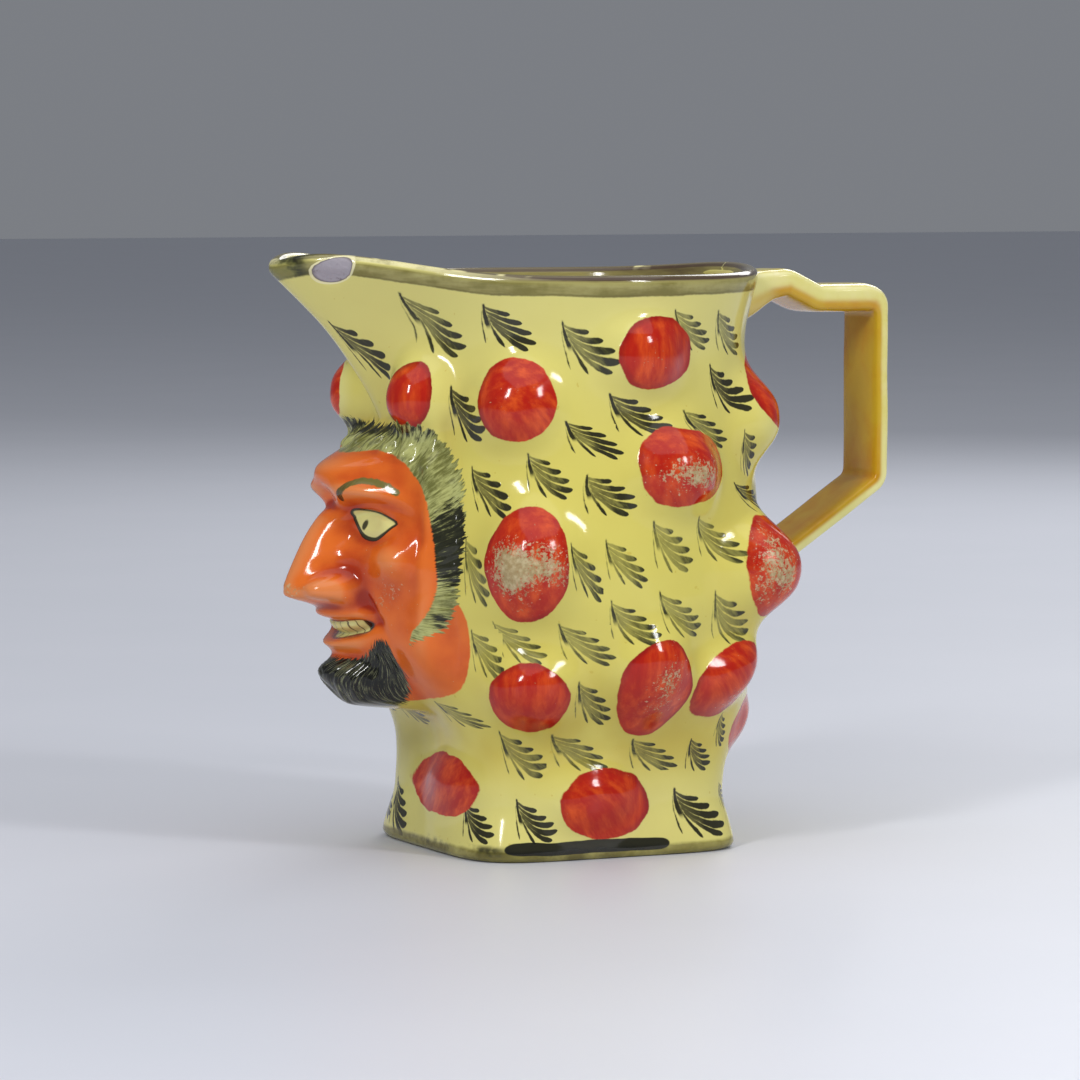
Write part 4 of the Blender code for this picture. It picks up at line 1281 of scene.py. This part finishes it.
def body_glaze():
    """The painted and glazed outside, and the plain yellow inside: one coat laid over another."""
    graph = Graph("painted_yellow_glaze", YELLOW, (38.0, 3.0), (150.0, 4.0), (900.0, 3.0))
    broad, middle, fine = graph.clouds
    glaze_ground(graph)
    strokes = paint_sprigs(graph)
    on_patch, rubbed, bare = paint_patches(graph)
    paint_flesh(graph, rubbed, bare)
    paint_hair(graph)
    paint_eyes_and_teeth(graph)
    paint_foot(graph, *paint_rim(graph))
    chipped = paint_chip(graph)
    worn = rubbed * on_patch
    rough = 0.085 + (middle + 0.5) * 0.05 + worn * 0.20 + chipped * 0.45
    relief = broad * 0.5 + middle * 0.22 + fine * 0.05 + strokes * 0.10 + on_patch * 0.12
    return graph.glaze(rough, relief - worn * 0.10 + chipped * fine * 1.2, 0.35)


def handle_glaze():
    """Yellow glaze with amber painted shade on the strap's inner faces, deepest in its bends, and run thin
    and pale off its edges.
    """
    graph = Graph("handle_yellow_glaze", YELLOW, (45.0, 3.0), (190.0, 4.0), (900.0, 3.0))
    broad, middle, fine = graph.clouds
    across, out = graph.read("strap_across").size(), graph.read("strap_out")
    graph.paint((broad * 1.6 + middle * 0.7 + 0.45).over(0.1, 0.9), MUSTARD)
    # Gold and amber on the inner faces of the strap, toward the jug: painted shade
    within = (out * -1.0).over(-0.30, 0.30)
    graph.paint(within * 0.92, graph.mix((broad * 2.2 + middle * 0.8 + 0.50).over(0.1, 1.0), SHADED_GOLD, SHADED_AMBER))
    near_edge = (across + middle * 0.18).over(0.80, 0.97) * out.over(-0.45, 0.30)
    pale = graph.mix((middle * 1.6 + 0.5).over(0.1, 0.9), LEMON, CREAM)
    graph.paint(near_edge * (fine * 0.8 + broad + 0.80).over(0.1, 0.8), pale)
    flank = across.over(0.965, 0.995) * (out + 0.3).over(0.0, 0.4) * out.under(0.6, 0.95)
    graph.paint(flank * 0.6, graph.mix((broad * 2.0 + 0.5).over(0.1, 0.9), YELLOW, LEMON))
    root = graph.read("strap_along").under(5.0, 11.0)
    graph.paint(root * (broad * 2.0 + 0.6).over(0.0, 1.0) * 0.7, LEMON)
    # Deeper amber in the bends of the inner faces: painted shade
    bend_shade = graph.read("strap_bend").over(0.40, 0.95) * (middle * 1.5 + 0.6).over(0.2, 0.8)
    graph.paint(bend_shade * within * 0.6, SHADED_AMBER)
    rough = 0.10 + (middle + 0.5) * 0.06
    return graph.glaze(rough, broad * 0.5 + middle * 0.3 + fine * 0.06, 0.40)


def floor_finish():
    """Plain pale matt paper."""
    graph = Graph("pale_floor", PAPER)
    graph.paint(graph.noise(12.0, 2.0) + 0.5, PALE_PAPER)
    graph.tree.links.new(graph.tone, graph.shader.inputs["Base Color"])
    graph.shader.inputs["Roughness"].default_value = 0.45
    return graph.material


# Soft lights: place, width, height and watts
SOFT_LIGHTS = {
    "left_window": ((-0.98, -0.70, 0.80), 0.12, 0.50, 7.4),
    "right_window": ((0.55, -1.16, 0.80), 0.20, 0.42, 6.9),
    "overhead": ((0.0, -0.3, 2.1), 2.6, 2.6, 22.5),
    "behind": ((0.9, 0.9, 0.8), 0.6, 0.6, 5.0),
}
LIGHT_AIM = Vector((0.0, 0.0, 0.07))
SKY = (0.80, 0.84, 0.92, 1.0)
SKY_STRENGTH = 0.25
FLOOR_HALF = 8.0


def softbox(name, at, width, height, power):
    """A rectangular soft light that faces the jug."""
    data = bpy.data.lights.new(name, "AREA")
    data.shape = "RECTANGLE"
    data.size, data.size_y = width, height
    data.energy = power
    thing = bpy.data.objects.new(name, data)
    thing.location = at
    thing.rotation_euler = (LIGHT_AIM - Vector(at)).to_track_quat("-Z", "Y").to_euler()
    bpy.context.scene.collection.objects.link(thing)


def build_studio():
    """A pale floor with soft lights to the left, right, overhead and behind."""
    corners = np.array([(-1.0, -1.0, 0.0), (1.0, -1.0, 0.0), (1.0, 1.0, 0.0), (-1.0, 1.0, 0.0)]) * FLOOR_HALF
    floor = mesh_object("floor", corners, [[0, 1, 2, 3]], smooth=False)
    floor.data.materials.append(floor_finish())
    world = bpy.data.worlds.new("studio")
    world.use_nodes = True
    background = world.node_tree.nodes["Background"]
    background.inputs["Color"].default_value = SKY
    background.inputs["Strength"].default_value = SKY_STRENGTH
    bpy.context.scene.world = world
    for name, light in SOFT_LIGHTS.items():
        softbox(name, *light)


def build():
    """Everything, from the camera to the floor."""
    bpy.context.scene.view_settings.view_transform = "Standard"
    camera = Camera()
    camera.build()
    skin = Skin(camera)
    body = build_body(skin)
    body.data.materials.append(body_glaze())
    handle = build_handle()
    handle.data.materials.append(handle_glaze())
    for piece in (body, handle):
        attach(piece, "root")
        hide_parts("mask_jug")
    build_studio()


build()
